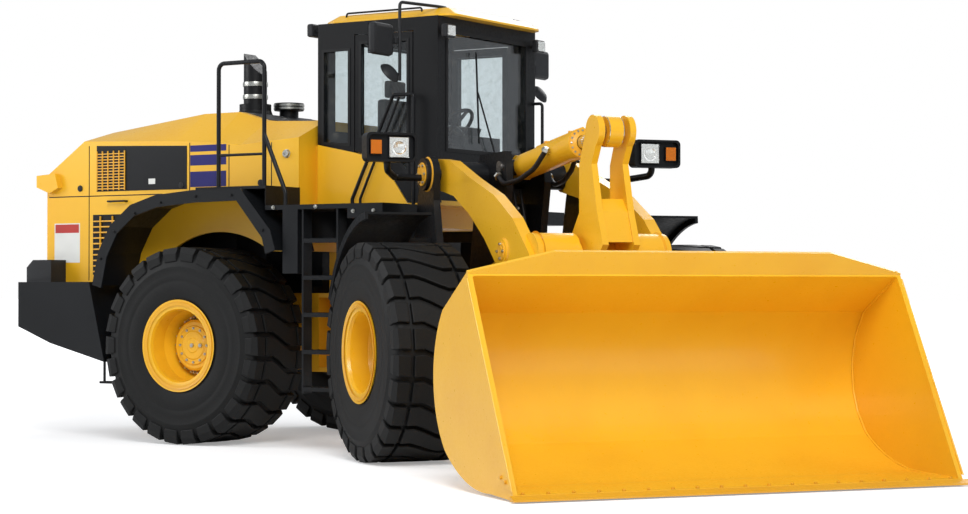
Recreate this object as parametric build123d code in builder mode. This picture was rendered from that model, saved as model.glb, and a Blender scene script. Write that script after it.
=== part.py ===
from build123d import *
import os
from math import atan2, cos, radians, sin

os.makedirs("parts", exist_ok=True)

# Articulated wheel loader, in millimetres. The origin is the steering axis on the ground,
# +X runs forward along the rear frame, +Y to the left and +Z up. The front frame is
# parked turned to the right, so its pieces are drawn straight and placed by FRONT.

# Driving dimensions
steer_angle = -35.5        # front frame against rear frame as parked
axle_reach = 1890          # steering axis to either axle
half_track = 1200          # centre line to the middle of a tyre
tyre_radius = 870
tyre_width = 750
lug_depth = 42
lug_count = 22
lug_camber = 5
rim_bead_radius = 330
rim_flange_radius = 405
rim_thickness = 14

lift_pin_radius = 50
tilt_pin_radius = 50
bucket_pin_radius = 55
crank_pin_radius = 75
link_pin_radius = 45
cross_tube_radius = 175
beam_spread = 400          # centre line to a rear frame beam
beam_thickness = 60
beam_bottom = 620
beam_top = 1330
axle_saddle = 1060         # underside of the beams over the rear axle
frame_saddle = 1090        # underside of the front frame over its axle
knuckle_height = 90        # each rear hitch plate
knuckle_levels = (720, 1400)
knuckle_radius = 170
hitch_pin_radius = 60
hitch_gap = 5              # play between hitch plates, up and down
pin_play = 0.05            # radial clearance of a running pin
seat_gap = 0.3             # play between faces of pieces that turn on each other
axle_tube_radius = 130
axle_bowl_radius = 300
axle_flange_radius = 215
hub_face = 1090            # centre line to where a wheel meets its axle

hood_half_width = 1000
hood_ridge_half_width = 600
hood_wall = 30
hood_bottom = 1432
hood_rear = -3980
hood_front = -1000
arch_radius = 1010
counterweight_half_width = 1450
fender_half_width = 1560
tow_bore_x = -4022
tow_bore_radius = 25
fender_thickness = 20
deck_thickness = 40

cab_rear = -940
cab_front = 330
cab_half_width = 800
cab_wall = 60
cab_floor = 2085
cab_top = 3785
roof_thickness = 80
roof_brim = 18
door_gap = 10
hinge_radius = 9
glass_thickness = 12

frame_web_inner = 170      # front tower's inner plates, centre line to middle
frame_web_outer = 680      # front tower's outer plates
web_thickness = 60
boom_arm_offset = 560
boom_arm_thickness = 94
boom_pin_radius = 60
crank_plate_offset = 130
crank_plate_thickness = 50
lift_cylinder_offset = 400
lift_barrel_radius = 95
lift_rod_radius = 55
tilt_barrel_radius = 108
tilt_rod_radius = 56
steer_barrel_radius = 60
steer_rod_radius = 35
eye_width = 120

bucket_half_width = 1700
bucket_wall = 32
bucket_floor = 10          # underside of the cutting edge over the ground

# Pins of the attachment, front frame coordinates (x, z)
boom_pin = (1150, 2320)
hinge_pin = (3760, 490)
tilt_base = (1500, 2373)
tilt_top = (3206, 2560)
crank_pin = (2950, 1620)
crank_low = (2880, 790)
link_pin = (3687, 780)
lift_base = (1190, 1242)
lift_top = (2550, 1660)

# Pins of the steering cylinders (x, y), at steer_level
steer_base = (-1000, 300)
steer_eye = (330, 400)
steer_level = 1060
steer_pin_radius = 30

cab_eaves = cab_top - roof_thickness
REAR = Plane.XY
FRONT = Plane(
    origin=(0, 0, 0),
    x_dir=(cos(radians(steer_angle)), sin(radians(steer_angle)), 0),
    z_dir=(0, 0, 1),
)
SIDES = (-1, 1)


def side(y, frame):
    """Upright plane along a frame at this y, its normal pointing right."""
    origin = frame.from_local_coords(Vector(0, y, 0))
    return Plane(origin=origin, x_dir=frame.x_dir, z_dir=-frame.y_dir)


def level(z, frame):
    """Flat plane of a frame at this height."""
    origin = frame.from_local_coords(Vector(0, 0, z))
    return Plane(origin=origin, x_dir=frame.x_dir, z_dir=frame.z_dir)


def across(x, frame):
    """Upright plane across a frame at this x, its normal pointing forward."""
    origin = frame.from_local_coords(Vector(x, 0, 0))
    return Plane(origin=origin, x_dir=frame.y_dir, z_dir=frame.x_dir)


def plate(points, y, thickness, frame=REAR, mode=Mode.ADD):
    """Upright plate of this side outline, its thickness centred on y."""
    with BuildSketch(side(y, frame)) as outline:
        Polygon(*points, align=None)
    extrude(outline.sketch, amount=thickness / 2, both=True, mode=mode)


def slab(points, z, thickness, frame=REAR, mode=Mode.ADD):
    """Flat plate of this plan outline, standing on z."""
    with BuildSketch(level(z, frame)) as outline:
        Polygon(*points, align=None)
    extrude(outline.sketch, amount=thickness, mode=mode)


def block(x, y, z, frame=REAR, mode=Mode.ADD):
    """Box between the pairs x, y and z."""
    with BuildSketch(level(z[0], frame)) as base:
        with Locations(((x[0] + x[1]) / 2, (y[0] + y[1]) / 2)):
            Rectangle(x[1] - x[0], y[1] - y[0])
    extrude(base.sketch, amount=z[1] - z[0], mode=mode)


def crosspin(centre, y, radius, frame=REAR, mode=Mode.ADD):
    """Round bar across the frame about the side point centre, between the pair y."""
    with BuildSketch(side(y[1], frame)) as ring:
        with Locations(centre):
            Circle(radius)
    extrude(ring.sketch, amount=y[1] - y[0], mode=mode)


def upright(centre, z, radius, frame=REAR, mode=Mode.ADD):
    """Round bar standing about the plan point centre, between the pair z."""
    with BuildSketch(level(z[0], frame)) as ring:
        with Locations(centre):
            Circle(radius)
    extrude(ring.sketch, amount=z[1] - z[0], mode=mode)


def rod(start, end, radius, frame=REAR, mode=Mode.ADD):
    """Round bar from one point to another."""
    first = frame.from_local_coords(Vector(*start))
    last = frame.from_local_coords(Vector(*end))
    with BuildSketch(Plane(origin=first, z_dir=last - first)) as ring:
        Circle(radius)
    extrude(ring.sketch, amount=(last - first).length, mode=mode)


def tube(points, radius, bend, frame=REAR):
    """Bent round bar through these points."""
    corners = [frame.from_local_coords(Vector(*point)) for point in points]
    with BuildLine() as path:
        FilletPolyline(*corners, radius=bend)
    with BuildSketch(Plane(origin=path.line @ 0, z_dir=path.line % 0)) as ring:
        Circle(radius)
    sweep(ring.sketch, path=path.line)


def save(part, name):
    """Label a finished piece and write it."""
    part.label = name
    export_step(part, "parts/" + name + ".step")


def mirrored(points):
    """The same plan outline on the other side of the centre line."""
    return [(x, -y) for x, y in points]


# ---------------------------------------------------------------- rear body

frame_ends = (-3450, -1200)
hitch_wall = -330
cab_mounts = ((-1180, -1080, 200), (-450, -350, 90))

with BuildPart() as rear_frame:
    beam = [
        (frame_ends[0], beam_top),
        (frame_ends[0], 1000),
        (-2950, beam_bottom),
        (-2700, beam_bottom),
        (-2450, axle_saddle),
        (-1500, axle_saddle),
        (-1300, beam_bottom),
        (frame_ends[1], beam_bottom),
        (frame_ends[1], beam_top),
    ]
    for hand in SIDES:
        plate(beam, hand * beam_spread, beam_thickness)
    tie = beam_spread + beam_thickness / 2
    for x, low in ((-3400, 1060), (-2900, 700), (-2360, 1100)):
        block((x - 20, x + 20), (-tie, tie), (low, beam_top - 20))
    block((frame_ends[1] - 40, frame_ends[1]), (-tie, tie), (beam_bottom, beam_top))
    block((frame_ends[1], hitch_wall), (-60, 60), (beam_bottom, 1480))
    block((hitch_wall - 60, hitch_wall), (-150, 150), (600, 1480))
    wing = [(frame_ends[1], -tie), (hitch_wall, -knuckle_radius)]
    for z in (beam_bottom, beam_top - 40):
        slab(wing + mirrored(wing)[::-1], z, 40)
    for z in knuckle_levels:
        tongue = [(-620, -250), (hitch_wall, -knuckle_radius), (0, -knuckle_radius)]
        slab(tongue + mirrored(tongue)[::-1], z - knuckle_height / 2, knuckle_height)
        upright((0, 0), (z - knuckle_height / 2, z + knuckle_height / 2), knuckle_radius)
    upright((0, 0), (0, 2000), hitch_pin_radius + pin_play, mode=Mode.SUBTRACT)
    for back, fore, inner in cab_mounts:
        for hand in SIDES:
            block((back, fore), sorted((hand * inner, hand * (inner + 100))), (beam_top - 20, 1900))
    for hand in SIDES:
        shelf = sorted((hand * 50, hand * (steer_base[1] + 60)))
        for z in (steer_level + eye_width / 2 + 5, steer_level - eye_width / 2 - 45):
            block((steer_base[0] - 90, steer_base[0] + 60), shelf, (z, z + 40))
        base = (steer_base[0], hand * steer_base[1])
        upright(base, (steer_level - eye_width / 2 - 45, steer_level + eye_width / 2 + 45), steer_pin_radius)
save(rear_frame.part, "rear_frame")

with BuildPart() as axle_pieces:
    for x, frame in ((-axle_reach, REAR),):
        crosspin((x, tyre_radius), (-250, 250), axle_bowl_radius - 40)
        crosspin((x, tyre_radius), (-hub_face + 100, hub_face - 100), axle_tube_radius)
        for hand in SIDES:
            crosspin((x, tyre_radius), sorted((hand * 650, hand * (hub_face - seat_gap))), axle_flange_radius)
            block(
                (x - 180, x + 180),
                sorted((hand * 330, hand * 470)),
                (tyre_radius + 60, axle_saddle),
            )
save(axle_pieces.part, "rear_axle")

with BuildPart() as engine:
    block((-3300, -2150), (-beam_spread - 30, beam_spread + 30), (beam_top, 2250))
    block((-1900, -1260), (-300, 300), (beam_top - 150, 1900))
    block((-1900, -1260), (-beam_spread - 30, beam_spread + 30), (beam_top, beam_top + 60))
save(engine.part, "engine_and_transmission")

with BuildPart() as counterweight:
    heavy = [(-4072, 1078), (-4072, hood_bottom), (-3041, hood_bottom), (-2856, 708), (-3516, 871)]
    plate(heavy, 0, 2 * counterweight_half_width)
    block((frame_ends[0], -2000), (-470, 470), (0, 3000), mode=Mode.SUBTRACT)
    corner = [(-4100, 1250), (-4072, 1250), (-3877, 1500), (-4100, 1500)]
    for outline in (corner, mirrored(corner)[::-1]):
        slab(outline, 0, 3000, mode=Mode.SUBTRACT)
    block((-4100, -3880), (-160, 160), (1200, 1300), mode=Mode.SUBTRACT)
    upright((tow_bore_x, 0), (0, 3000), tow_bore_radius, mode=Mode.SUBTRACT)
save(counterweight.part, "counterweight")

# Hood sections: x, height of the shoulder, height of the ridge
hood_sections = (
    (hood_rear, 2440, 2480),
    (-3510, 2750, 2855),
    (-2388, 2712, 2988),
    (-1976, 2690, 2989),
    (-1652, 2655, 2893),
    (hood_front, 2700, 2868),
)


def hood_solid(inset, floor):
    """Hood body whose skin lies this far inside the outer one."""
    faces = []
    for x, shoulder, ridge in hood_sections:
        place = x + (inset if x == hood_rear else -inset if x == hood_front else 0)
        half = hood_half_width - inset
        crown = hood_ridge_half_width - inset / 2
        with BuildSketch(across(place, REAR), mode=Mode.PRIVATE) as section:
            Polygon(
                (-half, floor),
                (half, floor),
                (half, shoulder - inset),
                (crown, ridge - inset),
                (-crown, ridge - inset),
                (-half, shoulder - inset),
                align=None,
            )
        faces.append(section.sketch)
    return loft(faces, ruled=True, mode=Mode.PRIVATE)


with BuildPart() as hood:
    add(hood_solid(0, hood_bottom))
    add(hood_solid(hood_wall, hood_bottom - 100), mode=Mode.SUBTRACT)
    crosspin((-axle_reach, tyre_radius), (-1100, 1100), arch_radius, mode=Mode.SUBTRACT)
    block((-axle_reach, hood_front + 1), (-1100, 1100), (hood_bottom - 1, 1700), mode=Mode.SUBTRACT)
    block((hood_rear - 1, hood_rear + 60), (-720, 720), (1600, 2380), mode=Mode.SUBTRACT)
    for hand in SIDES:
        pod = [(-4062, 2440), (-3830, 2455), (-3790, 2320), (-3900, 2270), (-4062, 2330)]
        plate(pod, hand * 910, 300)
save(hood.part, "hood")

with BuildPart() as rear_grille:
    block((hood_rear, hood_rear + hood_wall), (-719.7, 719.7), (1600.3, 2379.7))
    for z in range(1640, 2360, 60):
        block((hood_rear - 12, hood_rear), (-690, 690), (z, z + 22))
save(rear_grille.part, "rear_grille")

with BuildPart() as exhaust_stack:
    upright((-2270, 0), (2989, 3110), 150)
    upright((-2270, 0), (3110, 3600), 110)
    cut = [(-2500, 3620), (-2500, 3600), (-2340, 3590), (-2120, 3340), (-2120, 3620)]
    plate(cut, 0, 400, mode=Mode.SUBTRACT)
save(exhaust_stack.part, "exhaust_stack")

with BuildPart() as air_intake:
    upright((-2070, 260), (2989, 3060), 90)
    upright((-2070, 260), (3060, 3130), 140)
save(air_intake.part, "air_intake")

fender_arch = [
    (-2902, 1404),
    (-2831, 1700),
    (-2689, 1941),
    (-2454, 2116),
    (-2163, 2198),
    (-1741, 2232),
    (-1207, 2232),
    (-881, 1871),
    (-827, 1700),
]


def arch_strip(points, depth):
    """Closed outline of a strip of this depth under a line of points."""
    lower = []
    for i, (x, z) in enumerate(points):
        before = points[max(i - 1, 0)]
        after = points[min(i + 1, len(points) - 1)]
        turn = atan2(after[1] - before[1], after[0] - before[0])
        lower.append((x + depth * sin(turn), z - depth * cos(turn)))
    return points + lower[::-1]


with BuildPart() as rear_fenders:
    for hand in SIDES:
        middle = hand * (fender_half_width + hood_half_width) / 2
        plate(arch_strip(fender_arch, fender_thickness), middle, fender_half_width - hood_half_width)
        plate(arch_strip(fender_arch, 110), hand * (fender_half_width - 12), 24)
save(rear_fenders.part, "rear_fenders")

deck_edge = 1490
deck_inner = cab_half_width + seat_gap
with BuildPart() as decks:
    for hand in SIDES:
        wide = sorted((hand * deck_inner, hand * deck_edge))
        block((-1760, -985), sorted((hand * hood_half_width, hand * deck_edge)), (2232, 2257))
        block((-990, -985), sorted((hand * hood_half_width, hand * deck_edge)), (cab_floor - deck_thickness, 2257))
        block((-990, -120), wide, (cab_floor - deck_thickness, cab_floor))
        block((-120, 240), wide, (1962, cab_floor))
        block((-990, 200), sorted((hand * deck_inner, hand * (deck_inner + 20))), (1800, cab_floor - 20))
        block((-800, -640), sorted((hand * 1300, hand * deck_edge)), (1500, cab_floor))
save(decks.part, "decks")

ladder_span = (-602, -222)
with BuildPart() as ladders:
    for hand in SIDES:
        for x in ladder_span:
            rail = sorted((x, x + (18 if x == ladder_span[0] else -18)))
            block(rail, sorted((hand * 1360, hand * 1480)), (480, cab_floor - deck_thickness))
        for step in range(5):
            z = 500 + 315 * step
            block(ladder_span, sorted((hand * 1360, hand * 1480)), (z, z + 35))
save(ladders.part, "ladders")

# ---------------------------------------------------------------- cab

cab_base_top = 2640
base_outline = [
    (cab_rear, cab_floor),
    (cab_rear, cab_base_top),
    (-545, 2560),
    (-255, 2480),
    (15, 2105),
    (15, cab_floor),
]
inner = cab_half_width - cab_wall

with BuildPart() as cab_base:
    for hand in SIDES:
        plate(base_outline, hand * (cab_half_width - cab_wall / 2), cab_wall)
        block((15, cab_front), sorted((hand * inner, hand * cab_half_width)), (cab_floor, 2105))
    block((cab_rear, cab_rear + cab_wall), (-inner, inner), (cab_floor, cab_base_top))
    block((cab_rear + cab_wall, cab_front), (-inner, inner), (cab_floor, cab_floor + 40))
    block((-960, 60), (-inner, inner), (1900, cab_floor))
    block((hood_front, cab_rear), (-inner, inner), (1900, cab_base_top))
save(cab_base.part, "cab_base")

door_front = 80
door_rear = -545
door_top = cab_eaves - 110
windshield_low = 2560
windshield_top = cab_eaves - 120
quarter_low = (2650, 2630)
quarter_top = cab_eaves - 240
door_hinge = (door_rear - 10, cab_half_width + 22)
hinge_levels = (2760, 3400)
with BuildPart() as cab_shell:
    rear_part = [(cab_rear, cab_base_top), (door_rear, 2560), (door_rear, cab_eaves), (cab_rear, cab_eaves)]
    for hand in SIDES:
        middle = hand * (cab_half_width - cab_wall / 2)
        plate(rear_part, middle, cab_wall)
        quarter = [(-885, quarter_low[0]), (-600, quarter_low[1]), (-600, quarter_top), (-885, quarter_top)]
        plate(quarter, middle, 2 * cab_wall, mode=Mode.SUBTRACT)
        span = sorted((hand * inner, hand * cab_half_width))
        block((door_rear, door_front), span, (door_top, cab_eaves))
        block((door_front, cab_front), span, (2105, cab_eaves))
    block((cab_rear, cab_rear + cab_wall), (-inner, inner), (cab_base_top, cab_eaves))
    block((cab_rear - 1, cab_rear + cab_wall + 1), (-620, 620), (2760, windshield_top), mode=Mode.SUBTRACT)
    block((cab_front - cab_wall, cab_front), (-inner, inner), (cab_floor + 40, cab_eaves))
    block((cab_front - 90, cab_front + 1), (-660, 660), (windshield_low, windshield_top), mode=Mode.SUBTRACT)
    for z in hinge_levels:
        for low in (z - 25, z + 85):
            block((door_hinge[0] - 40, door_hinge[0] + 9), (cab_half_width, door_hinge[1] + 14), (low, low + 20))
        upright(door_hinge, (z - 25, z + 105), hinge_radius)
save(cab_shell.part, "cab_shell")

with BuildPart() as cab_roof:
    length = cab_front - cab_rear + 100
    for low, rise, slope in ((cab_eaves, roof_brim, 0), (cab_eaves + roof_brim, roof_thickness - roof_brim, 60)):
        with BuildSketch(level(low, REAR)) as sheet:
            with Locations((cab_rear + 20 + length / 2, 0)):
                RectangleRounded(length, 2 * cab_half_width - 60, 130)
        extrude(sheet.sketch, amount=rise, taper=slope)
save(cab_roof.part, "cab_roof")

pane_top = door_top - 80 - seat_gap
door_pane = [(-479.7, pane_top), (19.7, pane_top), (19.7, 2331), (-199.8, 2640.3), (-479.7, 2700.3)]
with BuildPart() as cab_glass:
    block((cab_front - 36, cab_front - 24), (-659.7, 659.7), (windshield_low + seat_gap, windshield_top - seat_gap))
    block((cab_rear + 24, cab_rear + 36), (-619.7, 619.7), (2760.3, windshield_top - seat_gap))
    for hand in SIDES:
        high = quarter_top - seat_gap
        quarter = [(-884.7, quarter_low[0] + 0.4), (-600.3, quarter_low[1] + 0.4), (-600.3, high), (-884.7, high)]
        plate(quarter, hand * (cab_half_width - cab_wall / 2), glass_thickness)
    plate(door_pane, cab_wall / 2 - cab_half_width, glass_thickness)
save(cab_glass.part, "cab_glass")

door_outline = [
    (door_rear + door_gap, door_top - door_gap),
    (door_front - door_gap, door_top - door_gap),
    (door_front - door_gap, 2105 + door_gap),
    (22, 2105 + door_gap),
    (-250, 2490),
    (door_rear + door_gap, 2570),
]
window_top = door_top - 80
door_window = [(-480, window_top), (20, window_top), (20, 2330), (-200, 2640), (-480, 2700)]
with BuildPart() as side_panel:
    plate(door_outline, cab_wall / 2 - cab_half_width, cab_wall)
    plate(door_window, cab_wall / 2 - cab_half_width, 2 * cab_wall, mode=Mode.SUBTRACT)
save(side_panel.part, "side_panel")

with BuildPart() as door:
    plate(door_outline, cab_half_width - cab_wall / 2, cab_wall)
    plate(door_window, cab_half_width - cab_wall / 2, 2 * cab_wall, mode=Mode.SUBTRACT)
    for z in hinge_levels:
        block((door_hinge[0], -490), (cab_half_width, cab_half_width + 16), (z, z + 80))
        upright(door_hinge, (z, z + 80), hinge_radius + 8)
        upright(door_hinge, (z, z + 80), hinge_radius + pin_play, mode=Mode.SUBTRACT)
save(door.part, "door")

with BuildPart() as door_glass:
    plate(door_pane, cab_half_width - cab_wall / 2, glass_thickness)
save(door_glass.part, "door_glass")

with BuildPart() as seat:
    block((-640, -140), (-240, 240), (2420, 2540))
    block((-720, -600), (-230, 230), (2540, 3080))
    block((-710, -620), (-130, 130), (3080, 3260))
    block((-600, -200), (-180, 180), (cab_floor + 40, 2420))
save(seat.part, "seat")

with BuildPart() as console:
    block((150, cab_front - cab_wall - 0.3), (-300, 300), (2500, 2700))
    upright((215, 0), (cab_floor + 40, 2510), 55)
    rod((165, 0, 2620), (-20, 0, 2800), 30)
save(console.part, "console")

with BuildPart() as steering_wheel:
    hub_plane = Plane(origin=(-20.21, 0, 2800.21), x_dir=(0, 1, 0), z_dir=(-185, 0, 180))
    with BuildSketch(hub_plane) as boss:
        Circle(45)
    extrude(boss.sketch, amount=25)
    with BuildSketch(hub_plane) as spokes:
        Rectangle(400, 36)
        Rectangle(36, 400)
    extrude(spokes.sketch, amount=16)
    ring_plane = Plane(origin=hub_plane.from_local_coords(Vector(205, 0, 12)), x_dir=hub_plane.x_dir, z_dir=hub_plane.y_dir)
    with BuildSketch(ring_plane) as section:
        Circle(17)
    axis = Axis(hub_plane.origin, hub_plane.z_dir)
    revolve(section.sketch, axis=axis)
save(steering_wheel.part, "steering_wheel")

mirror_side = 1287
mirror_x = 82
with BuildPart() as mirrors:
    for hand in SIDES:
        stem = hand * (mirror_side - 190)
        lift = cab_top + 14
        arm = [(250, hand * 560, lift), (250, hand * 640, lift), (mirror_x + 60, stem, lift), (mirror_x + 60, stem, 3130)]
        tube(arm, 14, 40)
        block((230, 270), sorted((hand * 560, hand * 600)), (cab_top, lift))
        wide = sorted((hand * (mirror_side - 150), hand * (mirror_side + 150)))
        block((mirror_x - 40, mirror_x + 40), wide, (3330, 3610))
        block((mirror_x, mirror_x + 60), sorted((hand * (mirror_side - 195), hand * (mirror_side - 140))), (3440, 3500))
        rod((mirror_x + 20, stem + hand * 125, 3190), (mirror_x + 70, stem + hand * 125, 3180), 100)
        rod((mirror_x + 50, stem, 3186), (mirror_x + 50, stem + hand * 100, 3186), 12)
save(mirrors.part, "mirrors")

rail_side = 1475
with BuildPart() as handrails:
    for hand in SIDES:
        out = hand * rail_side
        loop = [(-1512, 2257), (-1512, 3330), (-1010, 3330), (-1010, 2700), (-777, 2190), (-777, cab_floor)]
        tube([(x, out, z) for x, z in loop], 19, 60)
        rod((-1512, out, 2530), (-1010, out, 2530), 12)
        rod((-1010, out, 2257), (-1010, out, 2760), 19)
    grab = [(-515, cab_floor), (-515, 2150), (-82, 3040), (128, 3035), (128, cab_floor)]
    tube([(x, -870, z) for x, z in grab], 16, 25)
    brace = [(-430, cab_floor), (-430, 2150), (-20, 3020)]
    tube([(x, -870, z) for x, z in brace], 12, 25)
    pull = [(cab_front, 3055), (cab_front + 100, 3055), (cab_front + 100, 2642), (cab_front, 2642)]
    tube([(x, 770, z) for x, z in pull], 14, 30)

save(handrails.part, "handrails")

with BuildPart() as rear_lamps:
    case = [(-4050, hood_bottom), (-4050, 1570), (-3970, 1640), (-3740, 1640), (-3740, hood_bottom)]
    for hand in SIDES:
        plate(case, hand * (hood_half_width + 101), 200)
save(rear_lamps.part, "rear_lamps")

# ---------------------------------------------------------------- front body

tower_foot = 1060
with BuildPart() as front_frame:
    reach = frame_web_outer - web_thickness / 2
    block((620, 1560), (-reach, reach), (1000, tower_foot), FRONT)
    block((470, 700), (-480, 480), (1000, 1300), FRONT)
    block((340, 480), (-150, 150), (590, 1530), FRONT)
    block((420, 700), (-150, 150), (590, 1000), FRONT)
    block((1500, 2280), (-450, 450), (frame_saddle, 1200), FRONT)
    block((1500, 1640), (-450, 450), (1000, frame_saddle), FRONT)
    for z in knuckle_levels:
        for low in (z - knuckle_height / 2 - hitch_gap - 50, z + knuckle_height / 2 + hitch_gap):
            slab([(345, -200), (345, 200), (0, knuckle_radius), (0, -knuckle_radius)], low, 50, FRONT)
            upright((0, 0), (low, low + 50), knuckle_radius, FRONT)
    upright((0, 0), (0, 2000), hitch_pin_radius + pin_play, FRONT, mode=Mode.SUBTRACT)
    for hand in SIDES:
        for z in (steer_level + eye_width / 2 + 5, steer_level - eye_width / 2 - 45):
            ear = sorted((hand * (steer_eye[1] - 60), hand * (steer_eye[1] + 60)))
            block((steer_eye[0] - 50, 480), ear, (z, z + 40), FRONT)
save(front_frame.part, "front_frame")

with BuildPart() as lift_tower:
    inner_web = [
        (720, tower_foot),
        (980, 2320),
        (1050, 2500),
        (1600, 2500),
        (1640, 2250),
        (1560, 1900),
        (1480, tower_foot),
    ]
    outer_web = [
        (660, tower_foot),
        (930, 2150),
        (1000, 2320),
        (1300, 2320),
        (1290, 2100),
        (1440, 1450),
        (1520, tower_foot),
    ]
    arm_face = boom_arm_offset - boom_arm_thickness / 2
    crosspin(boom_pin, (5 - arm_face, arm_face - 5), 110, FRONT)
    for hand in SIDES:
        plate(inner_web, hand * frame_web_inner, web_thickness, FRONT)
        plate(outer_web, hand * frame_web_outer, web_thickness, FRONT)
        crosspin(boom_pin, sorted((hand * (frame_web_outer - 30), hand * (frame_web_outer + 30))), 150, FRONT)
        crosspin(boom_pin, sorted((hand * (frame_web_outer + 30), hand * (frame_web_outer + 75))), 135, FRONT)
        crosspin(boom_pin, sorted((hand * (arm_face - 10), hand * frame_web_outer)), boom_pin_radius, FRONT)
        eye = lift_cylinder_offset - eye_width / 2 - 5
        crosspin(lift_base, sorted((hand * frame_web_inner, hand * eye)), 60, FRONT)
        eye = lift_cylinder_offset + eye_width / 2 + 5
        crosspin(lift_base, sorted((hand * eye, hand * frame_web_outer)), 60, FRONT)
        crosspin(lift_base, sorted((hand * 300, hand * 500)), lift_pin_radius, FRONT)
        crosspin(tilt_base, sorted((hand * (eye_width / 2 + 5), hand * frame_web_inner)), 66, FRONT)
    crosspin(tilt_base, (-300, 300), tilt_pin_radius + pin_play, FRONT, mode=Mode.SUBTRACT)
    block((760, 820), (-170, 170), (tower_foot, 1250), FRONT)
save(lift_tower.part, "lift_tower")

with BuildPart() as control_valve:
    block((900, 1180), (-139, 139), (1330, 1820), FRONT)
    block((940, 1300), (-120, 120), (1820, 2080), FRONT)
    for i in range(5):
        spool = 1860 + 45 * i
        rod((1300, 0, spool), (1380, 0, spool), 16, FRONT)
    for y in (-80, 0, 80):
        rod((1180, y, 1500), (1240, y, 1500), 24, FRONT)
        rod((1180, y, 1650), (1240, y, 1650), 24, FRONT)
save(control_valve.part, "control_valve")

with BuildPart() as hitch_pins:
    for z in knuckle_levels:
        reach = knuckle_height / 2 + hitch_gap + 50
        upright((0, 0), (z - reach, z + reach), hitch_pin_radius)
        upright((0, 0), (z + reach, z + reach + 18), hitch_pin_radius + 30)
save(hitch_pins.part, "hitch_pins")

with BuildPart() as front_axle:
    crosspin((axle_reach, tyre_radius), (-250, 250), axle_bowl_radius - 90, FRONT)
    crosspin((axle_reach, tyre_radius), (-hub_face + 100, hub_face - 100), axle_tube_radius, FRONT)
    for hand in SIDES:
        crosspin((axle_reach, tyre_radius), sorted((hand * 650, hand * (hub_face - seat_gap))), axle_flange_radius, FRONT)
        pad = sorted((hand * 300, hand * 450))
        block((axle_reach - 180, axle_reach + 180), pad, (tyre_radius + 60, frame_saddle), FRONT)
save(front_axle.part, "front_axle")

front_arch_radius = 1115
front_arch_span = (95, 158)


def arch_band(y, width, thickness, radius, span, centre, frame):
    """Curved mudguard about a wheel centre, across the span of degrees."""
    with BuildSketch(side(y, frame)) as band:
        with BuildLine():
            outside = CenterArc(centre, radius, span[0], span[1] - span[0])
            inside = CenterArc(centre, radius - thickness, span[0], span[1] - span[0])
            Line(outside @ 0, inside @ 0)
            Line(outside @ 1, inside @ 1)
        make_face()
    extrude(band.sketch, amount=width / 2, both=True)


with BuildPart() as front_fenders:
    hub = (axle_reach, tyre_radius)
    for hand in SIDES:
        arch_band(hand * 1195, 566, fender_thickness, front_arch_radius, front_arch_span, hub, FRONT)
        arch_band(hand * 1466, 24, 60, front_arch_radius, front_arch_span, hub, FRONT)
        stay = sorted((hand * (frame_web_outer + 30.3), hand * 960))
        block((1000, 1060), stay, (1560, 1640), FRONT)
        block((1180, 1240), stay, (1720, 1790), FRONT)
save(front_fenders.part, "front_fenders")

lamp = (1558, 1190, 2509)  # middle of a headlamp
with BuildPart() as headlamps:
    for hand in SIDES:
        foot = hand * (frame_web_outer + 75 + seat_gap)
        arm = [(1150, foot, 2290), (1150, hand * 1000, 2290), (1500, hand * lamp[1], 2330), (1500, hand * lamp[1], 2400)]
        tube(arm, 28, 60, FRONT)
        for start, amount, wide, high, mode in (
            (lamp[0] - 60, 120, 430, 235, Mode.ADD),
            (lamp[0] + 20, 60, 394, 199, Mode.SUBTRACT),
        ):
            with BuildSketch(across(start, FRONT)) as case:
                with Locations((hand * lamp[1], lamp[2])):
                    RectangleRounded(wide, high, 40)
            extrude(case.sketch, amount=amount, mode=mode)
        for near, far, high in ((-150, 20, 85), (80, 180, 60)):
            span = sorted((hand * (lamp[1] + near), hand * (lamp[1] + far)))
            block((lamp[0], lamp[0] + 45), span, (lamp[2] - high, lamp[2] + high), FRONT)
save(headlamps.part, "headlamps")

# ---------------------------------------------------------------- wheels

# Section through a wheel: offset along the axle from its middle plane, radius
rim_half = tyre_width / 2 - 25
dish = hub_face - half_track
tread_floor = tyre_radius - lug_depth
# Tyre carcass: offset along the axle from its middle plane, radius
carcass_profile = [
    (rim_half - 20, rim_bead_radius + 0.3),
    (tyre_width / 2, 600),
    (tyre_width / 2 - 20, tread_floor),
    (20 - tyre_width / 2, tread_floor),
    (-tyre_width / 2, 600),
    (20 - rim_half, rim_bead_radius + 0.3),
]
# Tread bar: offset along the axle, offset round the tread
lug = [(352, -95), (352, 15), (-352, 95), (-352, -15)]

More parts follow.
